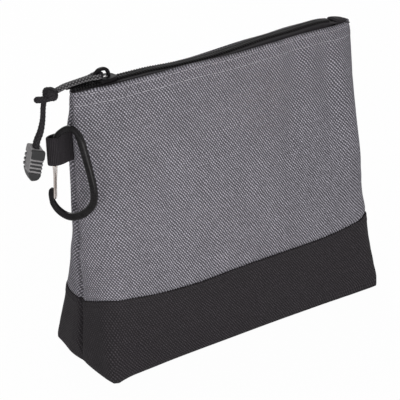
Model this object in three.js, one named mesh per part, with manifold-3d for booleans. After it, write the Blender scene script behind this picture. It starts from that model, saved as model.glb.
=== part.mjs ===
// Zippered tool bag: a soft grey bag with a black base, closed along its top by a zipper whose
// cord pull hangs over the left end, and a webbing loop on the left side seam with a carabiner.
// Units are millimetres. X runs along the zipper, Y from front to back and Z up. The origin is
// in the middle of the bag on the plane that it stands on.

import * as THREE from 'three';
import { mergeVertices } from 'three/addons/utils/BufferGeometryUtils.js';
import Module from 'manifold-3d';

const wasm = await Module();
wasm.setup();

// Bag body
const BASE_HALF_WIDTH = 125;
const TOP_HALF_WIDTH = 124;
const BASE_HALF_DEPTH = 42;
const MOUTH_HALF_DEPTH = 11;
const BAG_HEIGHT = 210;
const END_RISE = 1.7;
const END_RISE_LENGTH = 4;
const BASE_HEIGHT = 54;
const BASE_EDGE_RADIUS = 5;
const CORNER_RADIUS_LOW = 4;
const CORNER_RADIUS_GROWTH = 0.25;
const MOUTH_CORNER_LENGTH = 40;
const FABRIC = 1.4;
const BASE_FABRIC = 1.8;
const TIP_WALL = 2.4;
const GAP = 0.3;

// Seam bindings inside the bag
const BINDING_WIDTH = 9;
const BINDING_THICKNESS = 1.2;

// Zipper
const TAPE_THICKNESS = 0.8;
const TAPE_INNER_EDGE = 2.6;
const TAPE_FLAT_EDGE = 7.6;
const TAPE_SKIRT = 8;
const TAPE_LIFT = 2.0;
const ROW_WIDTH = 4.0;
const ROW_HEIGHT = 2.0;
const ROW_SPREAD = 1.4;
const TAIL_LENGTH = 1;
const TAIL_HALF_WIDTH = 6.2;
const STOP_LENGTH = 3.0;
const END_TAB_LENGTH = 15;

// Slider
const SLIDER_FROM_END = 30;
const SLIDER_LENGTH = 20;
const SLIDER_HALF_WIDTH = 7;
const SLIDER_PLATE = 1.3;
const SLIDER_FLANGE = 1.1;
const RUNNING_CLEARANCE = 0.3;
const BRIDGE_LENGTH = 13;
const BRIDGE_THICKNESS = 3.0;
const BRIDGE_WALL = 2.0;
const BRIDGE_HOLE_HEIGHT = 4.2;

// Pull cord and grip
const CORD_DIAMETER = 3.6;
const CORD_SIDES = 8;
const KNOT_RADIUS = 6;
const KNOT_PAST_END = 14.4;
const KNOT_OVER_MOUTH = 1;
const CORD_END_LENGTH = 5.5;
const GRIP_PAST_KNOT = 13;
const GRIP_BELOW_KNOT = 35;
const GRIP_LENGTH = 23.5;
const GRIP_TILT = 8;
const GRIP_LEAN = 11;
const GRIP_TURN = -14;
const GRIP_WIDTH = 9.4;
const GRIP_DEPTH = 9.4;
const GRIP_SHELL = 1.2;
const GRIP_TIP_LENGTH = 5.5;
const GRIP_RIBS = 4;

// Webbing loop
const WEBBING_WIDTH = 20;
const WEBBING_THICKNESS = 1.4;
const LOOP_BOTTOM = 160.8;
const LOOP_REACH = 20;
const LOOP_INNER_RADIUS = 4.4;

// Carabiner, whose frame lies in a plane that is turned about the bar in the loop. Heights on
// it are measured from where it rests on the loop's upper edge.
const CARABINER_TURN = -58;
const CARABINER_BAR = 5.2;
const CARABINER_SIDES = 10;
const CARABINER_TOP_Z = 6.2;
const CARABINER_HEIGHT = 64.9;
const LOW_BEND_RADIUS = 16.3;
const LOW_BEND_OFFSET = 12;
const TOP_BEND_LENGTH = 11.7;
const TOP_BEND_HEIGHT = 11.2;
const TOP_BEND_SQUARENESS = 0.85;
const SPINE_BOW = 1.2;
const GATE_PIVOT_Z = -23.1;
const GATE_CATCH_X = -1.4;
const GATE_CATCH_Z = -46.6;
const NOSE_LENGTH = 6.6;
const GATE_WIRE = 1.6;
const TONGUE_THICKNESS = 2.4;

// Colours
const GREY_FABRIC = { color: 0x5c5f64, roughness: 0.85, metalness: 0 };
const BLACK_FABRIC = { color: 0x17181a, roughness: 0.8, metalness: 0 };
const BLACK_WEBBING = { color: 0x121213, roughness: 0.75, metalness: 0 };
const ZIPPER_BLACK = { color: 0x141416, roughness: 0.55, metalness: 0 };
const SLIDER_METAL = { color: 0x202124, roughness: 0.35, metalness: 0.8 };
const STEEL = { color: 0xc4c6c8, roughness: 0.3, metalness: 1 };
const CORD_BLACK = { color: 0x111112, roughness: 0.85, metalness: 0 };
const GRIP_BLACK = { color: 0x1a1a1b, roughness: 0.6, metalness: 0 };
const GRIP_GREY = { color: 0x7e8083, roughness: 0.55, metalness: 0 };
const CARABINER_BLACK = { color: 0x0e0e0f, roughness: 0.4, metalness: 0.3 };

// Values that follow from the sizes above
const TAPE_BOTTOM = BAG_HEIGHT + TAPE_LIFT;
const TAPE_TOP = TAPE_BOTTOM + TAPE_THICKNESS;
const ROW_TOP = TAPE_TOP + ROW_HEIGHT;
const LEFT_END = -TOP_HALF_WIDTH;
const TAIL_END_X = LEFT_END - TAIL_LENGTH;
const SLIDER_X = LEFT_END + SLIDER_FROM_END;
const KNOT_X = LEFT_END - KNOT_PAST_END;
const KNOT_Z = BAG_HEIGHT + KNOT_OVER_MOUTH;
const GRIP_TOP = new THREE.Vector3(KNOT_X - GRIP_PAST_KNOT, 0, KNOT_Z - GRIP_BELOW_KNOT);
const SLIDER_TOP = ROW_TOP + RUNNING_CLEARANCE + SLIDER_PLATE;
const CORD_RADIUS = CORD_DIAMETER / 2;
const LOOP_TOP = LOOP_BOTTOM + WEBBING_WIDTH;
const EYE_X = LEFT_END - LOOP_REACH + WEBBING_THICKNESS + LOOP_INNER_RADIUS;
const BAR_RADIUS = CARABINER_BAR / 2;

const degrees = (value) => THREE.MathUtils.degToRad(value);
const mix = THREE.MathUtils.lerp;
const smooth = (value) => THREE.MathUtils.smoothstep(value, 0, 1);
const point = (x, y, z) => new THREE.Vector3(x, y, z);

const GRIP_ROTATION = new THREE.Euler(degrees(GRIP_LEAN), degrees(GRIP_TILT), degrees(GRIP_TURN), 'ZYX');
const GRIP_AXIS = point(0, 0, 1).applyEuler(GRIP_ROTATION);

const bag = new THREE.Group();

function addMesh(name, geometry, look, parent = bag) {
  const mesh = new THREE.Mesh(geometry, new THREE.MeshStandardMaterial(look));
  mesh.name = name;
  parent.add(mesh);
  return mesh;
}

// A solid through closed rings of points, closed by a face at each end, which is triangulated
// on the two axes that are named
function loft(rings, axisA, axisB) {
  const face = (ring) => capFaces(ring.map((p) => new THREE.Vector2(p[axisA], p[axisB])));
  return closedLoft(rings, face(rings[0]), face(rings.at(-1)));
}

// A sheet's solid, whose rings run along its outside and come back along its inside
function sheetLoft(rings) {
  const count = rings[0].length;
  const faces = [];
  for (let i = 0; i < count / 2 - 1; i += 1) {
    faces.push([i, i + 1, count - 2 - i], [i, count - 2 - i, count - 1 - i]);
  }
  return closedLoft(rings, faces, faces);
}

function closedLoft(rings, startFaces, endFaces) {
  const count = rings[0].length;
  const positions = rings.flat().flatMap((p) => [p.x, p.y, p.z]);
  const index = [];
  for (let r = 0; r < rings.length - 1; r += 1) {
    for (let i = 0; i < count; i += 1) {
      const j = (i + 1) % count;
      const a = r * count + i;
      const b = r * count + j;
      index.push(a, b, b + count, a, b + count, a + count);
    }
  }
  const last = (rings.length - 1) * count;
  for (const [i, j, k] of startFaces) index.push(i, k, j);
  for (const [i, j, k] of endFaces) index.push(last + i, last + j, last + k);
  const geometry = new THREE.BufferGeometry();
  geometry.setAttribute('position', new THREE.Float32BufferAttribute(positions, 3));
  geometry.setIndex(index);
  if (signedVolume(geometry) < 0) {
    for (let i = 0; i < index.length; i += 3) {
      [index[i], index[i + 1]] = [index[i + 1], index[i]];
    }
    geometry.setIndex(index);
  }
  return geometry;
}

// The triangles of an outline, each turning the same way as the outline does
function capFaces(outline) {
  const turn = THREE.ShapeUtils.area(outline);
  const area = (a, b, c) => THREE.ShapeUtils.area([outline[a], outline[b], outline[c]]);
  return THREE.ShapeUtils.triangulateShape([...outline], [])
    .map(([a, b, c]) => (area(a, b, c) * turn < 0 ? [a, c, b] : [a, b, c]));
}

function signedVolume(geometry) {
  const p = geometry.attributes.position;
  const index = geometry.index.array;
  const a = new THREE.Vector3();
  const b = new THREE.Vector3();
  const c = new THREE.Vector3();
  let volume = 0;
  for (let i = 0; i < index.length; i += 3) {
    a.fromBufferAttribute(p, index[i]);
    b.fromBufferAttribute(p, index[i + 1]);
    c.fromBufferAttribute(p, index[i + 2]);
    volume += a.dot(b.cross(c)) / 6;
  }
  return volume;
}

// A round bar along a curve
function tube(points, radius, sides, steps) {
  const shape = new THREE.Shape();
  for (let i = 0; i < sides; i += 1) {
    const turn = (2 * Math.PI * i) / sides;
    const x = radius * Math.cos(turn);
    const y = radius * Math.sin(turn);
    if (i === 0) shape.moveTo(x, y);
    else shape.lineTo(x, y);
  }
  const path = new THREE.CatmullRomCurve3(points, false, 'centripetal');
  return new THREE.ExtrudeGeometry(shape, { steps, bevelEnabled: false, extrudePath: path });
}

function box(low, high) {
  const size = point(high[0] - low[0], high[1] - low[1], high[2] - low[2]);
  const geometry = new THREE.BoxGeometry(size.x, size.y, size.z);
  return geometry.translate(low[0] + size.x / 2, low[1] + size.y / 2, low[2] + size.z / 2);
}

// A round pin between two points
function pin(from, to, radius, sides) {
  const along = to.clone().sub(from);
  const geometry = new THREE.CylinderGeometry(radius, radius, along.length(), sides);
  const turn = new THREE.Quaternion().setFromUnitVectors(point(0, 1, 0), along.clone().normalize());
  return geometry.applyQuaternion(turn).translate(...from.clone().add(to).multiplyScalar(0.5).toArray());
}

// Geometry to a solid that can be cut and joined, and back
function solid(geometry) {
  const bare = geometry.clone();
  bare.deleteAttribute('normal');
  bare.deleteAttribute('uv');
  const merged = mergeVertices(bare, 1e-4);
  const vertProperties = new Float32Array(merged.attributes.position.array);
  const triVerts = new Uint32Array(merged.index.array);
  return new wasm.Manifold(new wasm.Mesh({ numProp: 3, vertProperties, triVerts }));
}

function toGeometry(manifold) {
  const mesh = manifold.getMesh();
  const geometry = new THREE.BufferGeometry();
  geometry.setAttribute('position', new THREE.Float32BufferAttribute(mesh.vertProperties, 3));
  geometry.setIndex([...mesh.triVerts]);
  return geometry;
}

// An upright plate with rounded corners, drawn in X and Z and centred on Y
function uprightPlate(outline, thickness) {
  const shape = new THREE.Shape(outline.map(([x, z]) => new THREE.Vector2(x, z)));
  const geometry = new THREE.ExtrudeGeometry(shape, { depth: thickness, bevelEnabled: false });
  return geometry.rotateX(Math.PI / 2).translate(0, thickness / 2, 0);
}

// Bag section at a height: half its width and depth, and the length and depth of its rounded
// corner, which grows with height until the whole end is round and then tapers to the tip
function section(z) {
  const share = z / BAG_HEIGHT;
  const width = mix(BASE_HALF_WIDTH, TOP_HALF_WIDTH, share);
  const depth = mix(BASE_HALF_DEPTH, MOUTH_HALF_DEPTH, share);
  const radius = CORNER_RADIUS_LOW + CORNER_RADIUS_GROWTH * z;
  const cornerDepth = Math.min(depth, radius);
  const cornerLength = mix(radius, MOUTH_CORNER_LENGTH, smooth((share - 0.5) * 2));
  return { width, depth, cornerDepth, cornerLength };
}

function inset(s, wall, tipWall) {
  return {
    width: s.width - tipWall,
    depth: s.depth - wall,
    cornerDepth: s.cornerDepth - wall * (s.cornerDepth / s.depth),
    cornerLength: s.cornerLength,
  };
}

const CORNER_STEPS = 7;
const FRONT_STEPS = 6;

// Half the section's outline, from the left seam round the front to the right seam. side is -1
// for the front half and 1 for the back half.
function halfOutline(s, side, seamGap) {
  const half = [];
  if (s.depth - s.cornerDepth > 2) half.push([s.width, seamGap]);
  for (let i = 0; i <= CORNER_STEPS; i += 1) {
    const turn = ((Math.PI / 2) * i) / CORNER_STEPS;
    const x = s.width - s.cornerLength * (1 - Math.cos(turn));
    const y = s.depth - s.cornerDepth * (1 - Math.sin(turn));
    half.push([x, Math.max(y, seamGap)]);
  }
  const straight = s.width - s.cornerLength;
  const middle = [];
  for (let i = 1; i < FRONT_STEPS; i += 1) {
    middle.push([straight - (2 * straight * i) / FRONT_STEPS, s.depth]);
  }
  const mirrored = half.map(([x, y]) => [-x, y]).reverse();
  return [...half, ...middle, ...mirrored].map(([x, y]) => [x, side * y]);
}

// The mouth's edge rises a little at both ends of the bag
function endRise(x) {
  const start = TOP_HALF_WIDTH - END_RISE_LENGTH;
  return END_RISE * smooth((Math.abs(x) - start) / END_RISE_LENGTH);
}

// Half the bag above its base, a sheet of cloth that wraps round to both side seams
function panel(side) {
  const low = BASE_HEIGHT + GAP;
  const levels = [0, 0.12, 0.25, 0.4, 0.55, 0.7, 0.85, 1];
  const rings = levels.map((level) => {
    const z = mix(low, BAG_HEIGHT, level);
    const outer = section(z);
    const lift = (x) => endRise(x) * smooth(level);
    const inner = inset(outer, FABRIC, TIP_WALL);
    const flat = { ...outer, cornerDepth: Math.min(outer.cornerDepth, outer.depth - 2.01) };
    const flatInner = { ...inner, cornerDepth: Math.min(inner.cornerDepth, inner.depth - 2.01) };
    const outside = halfOutline(flat, side, GAP / 2);
    const inside = halfOutline(flatInner, side, GAP / 2).reverse();
    return [...outside, ...inside].map(([x, y]) => point(x, y, z + lift(x)));
  });
  return sheetLoft(rings);
}

// The whole outline of a section, as one closed ring
function ringOutline(s, z) {
  const flat = { ...s, cornerDepth: Math.min(s.cornerDepth, s.depth - 2.01) };
  const front = halfOutline(flat, -1, 0);
  const back = halfOutline(flat, 1, 0).reverse();
  return [...front, ...back.slice(1, -1)].map(([x, y]) => point(x, y, z));
}

// The base, an open tub of cloth with a rounded lower edge
function basePanel() {
  const rings = [];
  const edgeSteps = 3;
  for (let i = 0; i <= edgeSteps; i += 1) {
    const turn = ((Math.PI / 2) * i) / edgeSteps;
    const pull = BASE_EDGE_RADIUS * (1 - Math.sin(turn));
    const z = BASE_EDGE_RADIUS * (1 - Math.cos(turn));
    rings.push(ringOutline(inset(section(z), pull, pull), z));
  }
  rings.push(ringOutline(section(BASE_HEIGHT / 2), BASE_HEIGHT / 2));
  rings.push(ringOutline(section(BASE_HEIGHT), BASE_HEIGHT));
  for (const z of [BASE_HEIGHT, BASE_HEIGHT / 2, BASE_EDGE_RADIUS]) {
    rings.push(ringOutline(inset(section(z), BASE_FABRIC, BASE_FABRIC), z));
  }
  const floorPull = BASE_EDGE_RADIUS;
  rings.push(ringOutline(inset(section(0), floorPull, floorPull), BASE_FABRIC));
  return loft(rings, 'x', 'y');
}

// Binding sewn over the raw edges along a side seam, inside the bag
function sideSeamBinding(end) {
  const low = BASE_HEIGHT + BINDING_WIDTH;
  const high = BAG_HEIGHT - TAPE_SKIRT - 10;
  const rings = [low, (low + high) / 2, high].map((z) => {
    const wall = section(z).width - TIP_WALL - GAP;
    const half = BINDING_THICKNESS;
    const tip = wall - BINDING_WIDTH;
    return [[wall, -half], [wall, half], [tip, half], [tip, -half]]
      .map(([x, y]) => point(end * x, y, z));
  });
  return loft(rings, 'x', 'y');
}

// Binding along the short seam that boxes a lower corner
function cornerSeamBinding(end) {
  const wall = BASE_HALF_WIDTH - BASE_EDGE_RADIUS - BASE_FABRIC;
  const reach = BASE_HALF_DEPTH - BASE_EDGE_RADIUS - 4;
  const low = BASE_FABRIC + GAP;
  return box(
    [Math.min(end * wall, end * (wall - BINDING_WIDTH)), -reach, low],
    [Math.max(end * wall, end * (wall - BINDING_WIDTH)), reach, low + 2 * BINDING_THICKNESS],
  );
}

// Binding along the seam that joins the grey cloth to the base, on the inside
function baseSeamBinding(side) {
  const half = BASE_HALF_WIDTH - 34;
  const levels = [BASE_HEIGHT - BINDING_WIDTH / 2, BASE_HEIGHT + BINDING_WIDTH / 2];
  const rings = levels.map((z) => {
    const wall = section(z).depth - BASE_FABRIC - GAP;
    return [[-half, wall], [half, wall], [half, wall - BINDING_THICKNESS], [-half, wall - BINDING_THICKNESS]]
      .map(([x, y]) => point(x, side * y, z));
  });
  return loft(rings, 'x', 'y');
}

// How far the mouth's edge lies from the zipper's line at a place along it
function mouthHalfDepth(x) {
  const s = inset(section(BAG_HEIGHT), FABRIC, TIP_WALL);
  const past = (Math.abs(x) - (s.width - s.cornerLength)) / s.cornerLength;
  return s.depth * Math.sqrt(Math.max(0, 1 - Math.max(0, past) ** 2));
}

// One zipper tape: flat under its row of teeth, then down inside the mouth's edge, where it is
// sewn. At both ends, where the mouth closes, only the flat part goes on.
function zipperTape(side) {
  const fromTip = [0, 6, 12, 18, 26, MOUTH_CORNER_LENGTH - 4];
  const leftHalf = fromTip.map((distance) => LEFT_END + distance);
  const rightHalf = leftHalf.map((x) => -x).reverse();
  const rings = [TAIL_END_X, ...leftHalf, 0, ...rightHalf].map((x) => {
    const mouth = mouthHalfDepth(x) - GAP;
    const open = smooth((mouth - TAPE_FLAT_EDGE) / 1.2);
    const atTip = Math.abs(x) > TOP_HALF_WIDTH - 11;
    const flat = atTip ? TAIL_HALF_WIDTH : Math.min(TAPE_FLAT_EDGE, mouth + 2);
    const edge = mix(flat + 0.2, mouth, open);
    const bend = TAPE_TOP - open * TAPE_LIFT;
    const drop = mix(TAPE_THICKNESS, TAPE_THICKNESS + TAPE_SKIRT, open);
    const outline = [
      [TAPE_INNER_EDGE, TAPE_BOTTOM],
      [TAPE_INNER_EDGE, TAPE_TOP],
      [flat, TAPE_TOP],
      [edge, bend],
      [edge, bend - drop],
      [edge - mix(0.1, TAPE_THICKNESS, open), bend - drop],
      [mix(flat, edge - TAPE_THICKNESS, open), bend - TAPE_THICKNESS],
      [flat - 0.4, TAPE_BOTTOM],
    ];
    return outline.map(([y, z]) => point(x, side * y, z));
  });
  return loft(rings, 'y', 'z');
}

// One row of teeth, apart from the other on the open side of the slider and beside it behind
function teethRow(side) {
  const left = TAIL_END_X + STOP_LENGTH + GAP;
  const right = TOP_HALF_WIDTH - END_TAB_LENGTH - STOP_LENGTH - GAP;
  const stations = [left, SLIDER_X - 9, SLIDER_X + 2, right];
  const spreads = [ROW_SPREAD, ROW_SPREAD, GAP / 2, GAP / 2];
  const low = TAPE_TOP + 0.05;
  const rings = stations.map((x, i) => {
    const inner = spreads[i];
    const outline = [
      [inner, low],
      [inner, ROW_TOP - 0.6],
      [inner + 0.6, ROW_TOP],
      [inner + ROW_WIDTH - 0.8, ROW_TOP],
      [inner + ROW_WIDTH, ROW_TOP - 0.8],
      [inner + ROW_WIDTH, low],
    ];
    return outline.map(([y, z]) => point(x, side * y, z));
  });
  return loft(rings, 'y', 'z');
}

// Stops at the ends of the rows
function topStop(side) {
  const y = [side * ROW_SPREAD, side * (ROW_SPREAD + ROW_WIDTH)];
  return box(
    [TAIL_END_X, Math.min(...y), TAPE_TOP + 0.05],
    [TAIL_END_X + STOP_LENGTH, Math.max(...y), ROW_TOP],
  );
}

function bottomStop() {
  const right = TOP_HALF_WIDTH - END_TAB_LENGTH;
  return box(
    [right - STOP_LENGTH, -ROW_WIDTH, TAPE_TOP + 0.05],
    [right, ROW_WIDTH, ROW_TOP],
  );
}

// The folded tab of black webbing that covers the zipper's closed end
function endTab() {
  const left = TOP_HALF_WIDTH - END_TAB_LENGTH + GAP;
  const right = TOP_HALF_WIDTH + 1.5;
  const low = TAPE_TOP + 0.05;
  const rings = [left, left + 3, right - 4, right].map((x, i) => {
    const half = [7, 7, 6, 4][i];
    const high = low + [1.8, 2.6, 2.4, 1.2][i];
    return [[-half, low], [half, low], [half - 1.5, high], [1.5 - half, high]]
      .map(([y, z]) => point(x, y, z));
  });
  return loft(rings, 'y', 'z');
}

// The slider: two plates joined by the post that parts the rows, with side flanges and a bridge
function sliderBody() {
  const low = TAPE_BOTTOM - RUNNING_CLEARANCE - SLIDER_PLATE;
  const left = SLIDER_X - SLIDER_LENGTH / 2;
  const right = SLIDER_X + SLIDER_LENGTH / 2;
  const wide = SLIDER_HALF_WIDTH;
  const narrow = SLIDER_HALF_WIDTH - 1;
  const plan = [
    [left + 3, wide], [left + 9, wide], [right - 2, narrow], [right, narrow - 2],
    [right, 2 - narrow], [right - 2, -narrow], [left + 9, -wide], [left + 3, -wide],
    [left, 3 - wide], [left, wide - 3],
  ];
  const shape = new THREE.Shape(plan.map(([x, y]) => new THREE.Vector2(x, y)));
  const depth = SLIDER_TOP - low;
  const block = new THREE.ExtrudeGeometry(shape, { depth, bevelEnabled: false }).translate(0, 0, low);
  const channel = narrow - SLIDER_FLANGE + 0.6;
  const floor = low + SLIDER_PLATE;
  const ceiling = SLIDER_TOP - SLIDER_PLATE;
  const slot = TAPE_TOP + RUNNING_CLEARANCE;
  const past = SLIDER_LENGTH;
  const chainWay = box([left - past, -channel, floor], [right + past, channel, ceiling]);
  const tapeWay = box([left - past, -2 * wide, floor], [right + past, 2 * wide, slot]);
  const post = box([left + 0.8, -0.9, floor - 0.5], [left + 4.5, 0.9, ceiling + 0.5]);
  let body = solid(block).subtract(solid(chainWay)).subtract(solid(tapeWay)).add(solid(post));
  body = body.add(solid(bridge()));
  return toGeometry(body);
}

// The arch on top of the slider that the pull's cord goes through
function bridge() {
  const left = SLIDER_X - 9.5;
  const right = left + BRIDGE_LENGTH;
  const foot = SLIDER_TOP - 0.4;
  const holeLow = SLIDER_TOP + 0.2;
  const holeHigh = holeLow + BRIDGE_HOLE_HEIGHT;
  const top = holeHigh + BRIDGE_WALL * 0.8;
  const outline = [
    [left, foot], [right, foot], [right, top - 3], [right - 3, top], [left + 2.2, top], [left, top - 2.2],
  ];
  const hole = [
    [left + BRIDGE_WALL, holeLow], [right - BRIDGE_WALL, holeLow],
    [right - BRIDGE_WALL, holeHigh - 1.2], [right - BRIDGE_WALL - 1.2, holeHigh],
    [left + BRIDGE_WALL, holeHigh],
  ];
  const arch = solid(uprightPlate(outline, BRIDGE_THICKNESS));
  return toGeometry(arch.subtract(solid(uprightPlate(hole, 2 * BRIDGE_THICKNESS))));
}

const STRAND_Z = SLIDER_TOP + 0.2 + BRIDGE_HOLE_HEIGHT / 2;
const STRAND_Y = BRIDGE_THICKNESS / 2 + GAP + CORD_RADIUS;
const BIGHT_X = SLIDER_X - 9.5 + BRIDGE_WALL + GAP + CORD_RADIUS;
const STRAND_START_X = BIGHT_X - 2.5;

// The cord's turn through the bridge
function cordBight() {
  const points = [];
  const steps = 10;
  for (let i = 0; i <= steps; i += 1) {
    const turn = (Math.PI * i) / steps - Math.PI / 2;
    const x = STRAND_START_X + 0.3 + (BIGHT_X - STRAND_START_X - 0.3) * Math.cos(turn) ** 0.7;
    const atEnd = i === 0 || i === steps;
    points.push(point(atEnd ? STRAND_START_X + 0.3 : x, STRAND_Y * Math.sin(turn), STRAND_Z));
  }
  return tube(points, CORD_RADIUS, CORD_SIDES, 24);
}

// One strand from the bridge, over the open rows, to the knot
function cordStrand(side) {
  const rest = ROW_TOP + GAP + CORD_RADIUS;
  const reach = KNOT_RADIUS + GAP;
  const route = [
    point(STRAND_START_X, side * STRAND_Y, STRAND_Z),
    point(STRAND_START_X - 4, side * STRAND_Y, STRAND_Z - 0.3),
    point(LEFT_END + 12, side * 3.3, rest + 0.5),
    point(LEFT_END + 4, side * 2.8, rest),
    point(LEFT_END - 2, side * 2.5, rest),
    point(KNOT_X + reach + 2, side * 2.3, rest - 1),
    point(KNOT_X + 0.79 * reach, side * 0.34 * reach, KNOT_Z + 0.51 * reach),
  ];
  return tube(route, CORD_RADIUS, CORD_SIDES, 14);
}

// The cord below the knot, down to the grip
function cordDrop() {
  const route = [
    point(KNOT_X - 4.2, 0, KNOT_Z - 5),
    point(KNOT_X - 5.6, 0, KNOT_Z - 9.5),
    point(KNOT_X - 7, 0, KNOT_Z - 17),
    point(KNOT_X - 9.6, 0, KNOT_Z - 25),
    GRIP_TOP.clone().addScaledVector(GRIP_AXIS, 4),
    GRIP_TOP.clone().addScaledVector(GRIP_AXIS, GAP),
  ];
  return tube(route, CORD_RADIUS, CORD_SIDES, 12);
}

function knot() {
  return new THREE.IcosahedronGeometry(KNOT_RADIUS, 2).translate(KNOT_X, 0, KNOT_Z);
}

// The cut end that sticks out of the knot
function cordEnd() {
  const y = CORD_DIAMETER + 2 * GAP;
  const x = KNOT_X - Math.sqrt((KNOT_RADIUS + GAP) ** 2 - (y - CORD_RADIUS) ** 2);
  const from = point(x, y, KNOT_Z - 1.2);
  return tube([from, point(x - CORD_END_LENGTH, y, KNOT_Z - 2.4)], CORD_RADIUS, CORD_SIDES, 2);
}

// A rounded upright block of the grip, centred on X and Y, from one height to another
function gripBlock(width, depth, low, high, tip) {
  const levels = tip
    ? [[low, 0.62], [low + tip * 0.18, 0.84], [low + tip * 0.45, 0.97], [low + tip, 1], [high, 1]]
    : [[low, 1], [high, 1]];
  const corner = Math.min(width, depth) * 0.28;
  const rings = levels.map(([z, share]) => {
    const ring = [];
    for (let i = 0; i < 4; i += 1) {
      for (let k = 0; k <= 3; k += 1) {
        const turn = (Math.PI / 2) * (i + k / 3);
        const cx = (i === 0 || i === 3 ? 1 : -1) * (width / 2 - corner);
        const cy = (i < 2 ? 1 : -1) * (depth / 2 - corner);
        const x = cx + corner * Math.cos(turn);
        const y = cy + corner * Math.sin(turn);
        ring.push(point(x * share, y * share, z));
      }
    }
    return ring;
  });
  return loft(rings, 'x', 'y');
}

// The grip's black core with its full-width tip
function gripCore() {
  const inner = GRIP_SHELL + GAP;
  const stem = gripBlock(GRIP_WIDTH - 2 * inner, GRIP_DEPTH - 2 * inner, -GRIP_LENGTH + 2, 0, 0);
  const tipTop = -GRIP_LENGTH + GRIP_TIP_LENGTH;
  const tip = gripBlock(GRIP_WIDTH, GRIP_DEPTH, -GRIP_LENGTH, tipTop, GRIP_TIP_LENGTH * 0.8);
  return toGeometry(solid(stem).add(solid(tip)));
}

// The grip's grey shell, with slots in front between its cross ribs
function gripShell() {
  const low = -GRIP_LENGTH + GRIP_TIP_LENGTH + GAP;
  const outside = gripBlock(GRIP_WIDTH, GRIP_DEPTH, low, 0, 0);
  const inside = gripBlock(GRIP_WIDTH - 2 * GRIP_SHELL, GRIP_DEPTH - 2 * GRIP_SHELL, low - 1, 1, 0);
  let shell = solid(outside).subtract(solid(inside));
  const pitch = 3;
  const half = GRIP_WIDTH / 2 - GRIP_SHELL - 0.6;
  for (let i = 0; i < GRIP_RIBS; i += 1) {
    const z = low + 1.4 + i * pitch;
    const high = i === GRIP_RIBS - 1 ? -2 : z + 1.6;
    shell = shell.subtract(solid(box([-half, -GRIP_DEPTH, z], [half, 0, high])));
  }
  return toGeometry(shell);
}

// The loop of webbing on the left side seam: two flat tails under the seam's stitches that
// open into a round eye
function webbingLoop() {
  const outer = LOOP_INNER_RADIUS + WEBBING_THICKNESS;
  const root = -section(LOOP_BOTTOM).width - GAP;
  const wall = (radius, rootHalf) => {
    const outline = [[root, rootHalf], [root - 4, rootHalf + 0.3]];
    for (let i = 0; i <= 8; i += 1) {
      const turn = degrees(62 + (236 * i) / 8);
      outline.push([EYE_X + radius * Math.cos(turn), radius * Math.sin(turn)]);
    }
    outline.push([root - 4, -rootHalf - 0.3], [root, -rootHalf]);
    return outline;
  };
  const inside = wall(LOOP_INNER_RADIUS, GAP).reverse();
  const outline = [...wall(outer, GAP + WEBBING_THICKNESS), ...inside];
  const rings = [LOOP_BOTTOM, LOOP_TOP].map((z) => outline.map(([x, y]) => point(x, y, z)));
  return loft(rings, 'x', 'y');
}

// The carabiner's bent bar, from its nose round the low bend, the spine and the squarer top bend
// to the gate's pivot
function carabinerBody() {
  const lowBendZ = CARABINER_TOP_Z - CARABINER_HEIGHT + LOW_BEND_RADIUS;
  const topBendZ = CARABINER_TOP_Z - TOP_BEND_HEIGHT;
  const spineLow = point(LOW_BEND_OFFSET + LOW_BEND_RADIUS, 0, lowBendZ);
  const spineTop = point(2 * TOP_BEND_LENGTH, 0, topBendZ);
  const route = [point(LOW_BEND_OFFSET - LOW_BEND_RADIUS + 0.4, 0, GATE_CATCH_Z + NOSE_LENGTH)];
  for (let turn = 180; turn <= 360; turn += 30) {
    const x = LOW_BEND_OFFSET + LOW_BEND_RADIUS * Math.cos(degrees(turn));
    route.push(point(x, 0, lowBendZ + LOW_BEND_RADIUS * Math.sin(degrees(turn))));
  }
  for (const share of [0.35, 0.7]) {
    const bow = SPINE_BOW * Math.sin(Math.PI * share);
    route.push(spineLow.clone().lerp(spineTop, share).add(point(bow, 0, 0)));
  }
  for (let turn = 0; turn <= 180; turn += 22.5) {
    const across = Math.cos(degrees(turn));
    const squarer = Math.sign(across) * Math.abs(across) ** TOP_BEND_SQUARENESS;
    const up = Math.sin(degrees(turn)) ** TOP_BEND_SQUARENESS;
    route.push(point(TOP_BEND_LENGTH * (1 + squarer), 0, topBendZ + TOP_BEND_HEIGHT * up));
  }
  route.push(point(0, 0, (topBendZ + GATE_PIVOT_Z) / 2), point(0, 0, GATE_PIVOT_Z - 2.4));
  const bar = solid(tube(route, BAR_RADIUS, CARABINER_SIDES, 64));
  const side = TONGUE_THICKNESS / 2;
  const past = CARABINER_BAR;
  const cut = (low, high) => solid(box(low, high));
  const pivotHole = solid(pin(
    point(0, -past, GATE_PIVOT_Z),
    point(0, past, GATE_PIVOT_Z),
    GATE_WIRE / 2 + 0.35,
    10,
  ));
  const top = GATE_PIVOT_Z + GATE_WIRE / 2 + GAP;
  const slot = GATE_CATCH_X - GATE_WIRE / 2 - GAP;
  return toGeometry(bar
    .subtract(cut([-past, side, GATE_PIVOT_Z - past], [past, past, top]))
    .subtract(cut([-past, -past, GATE_PIVOT_Z - past], [past, -side, top]))
    .subtract(pivotHole)
    .subtract(cut([slot, side, GATE_CATCH_Z - 1.3], [past, past, GATE_CATCH_Z + 8]))
    .subtract(cut([slot, -past, GATE_CATCH_Z - 1.3], [past, -side, GATE_CATCH_Z + 8]))
    .subtract(cut([slot, -past, GATE_CATCH_Z - 1.3], [past, past, GATE_CATCH_Z + 1.3])));
}

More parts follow.
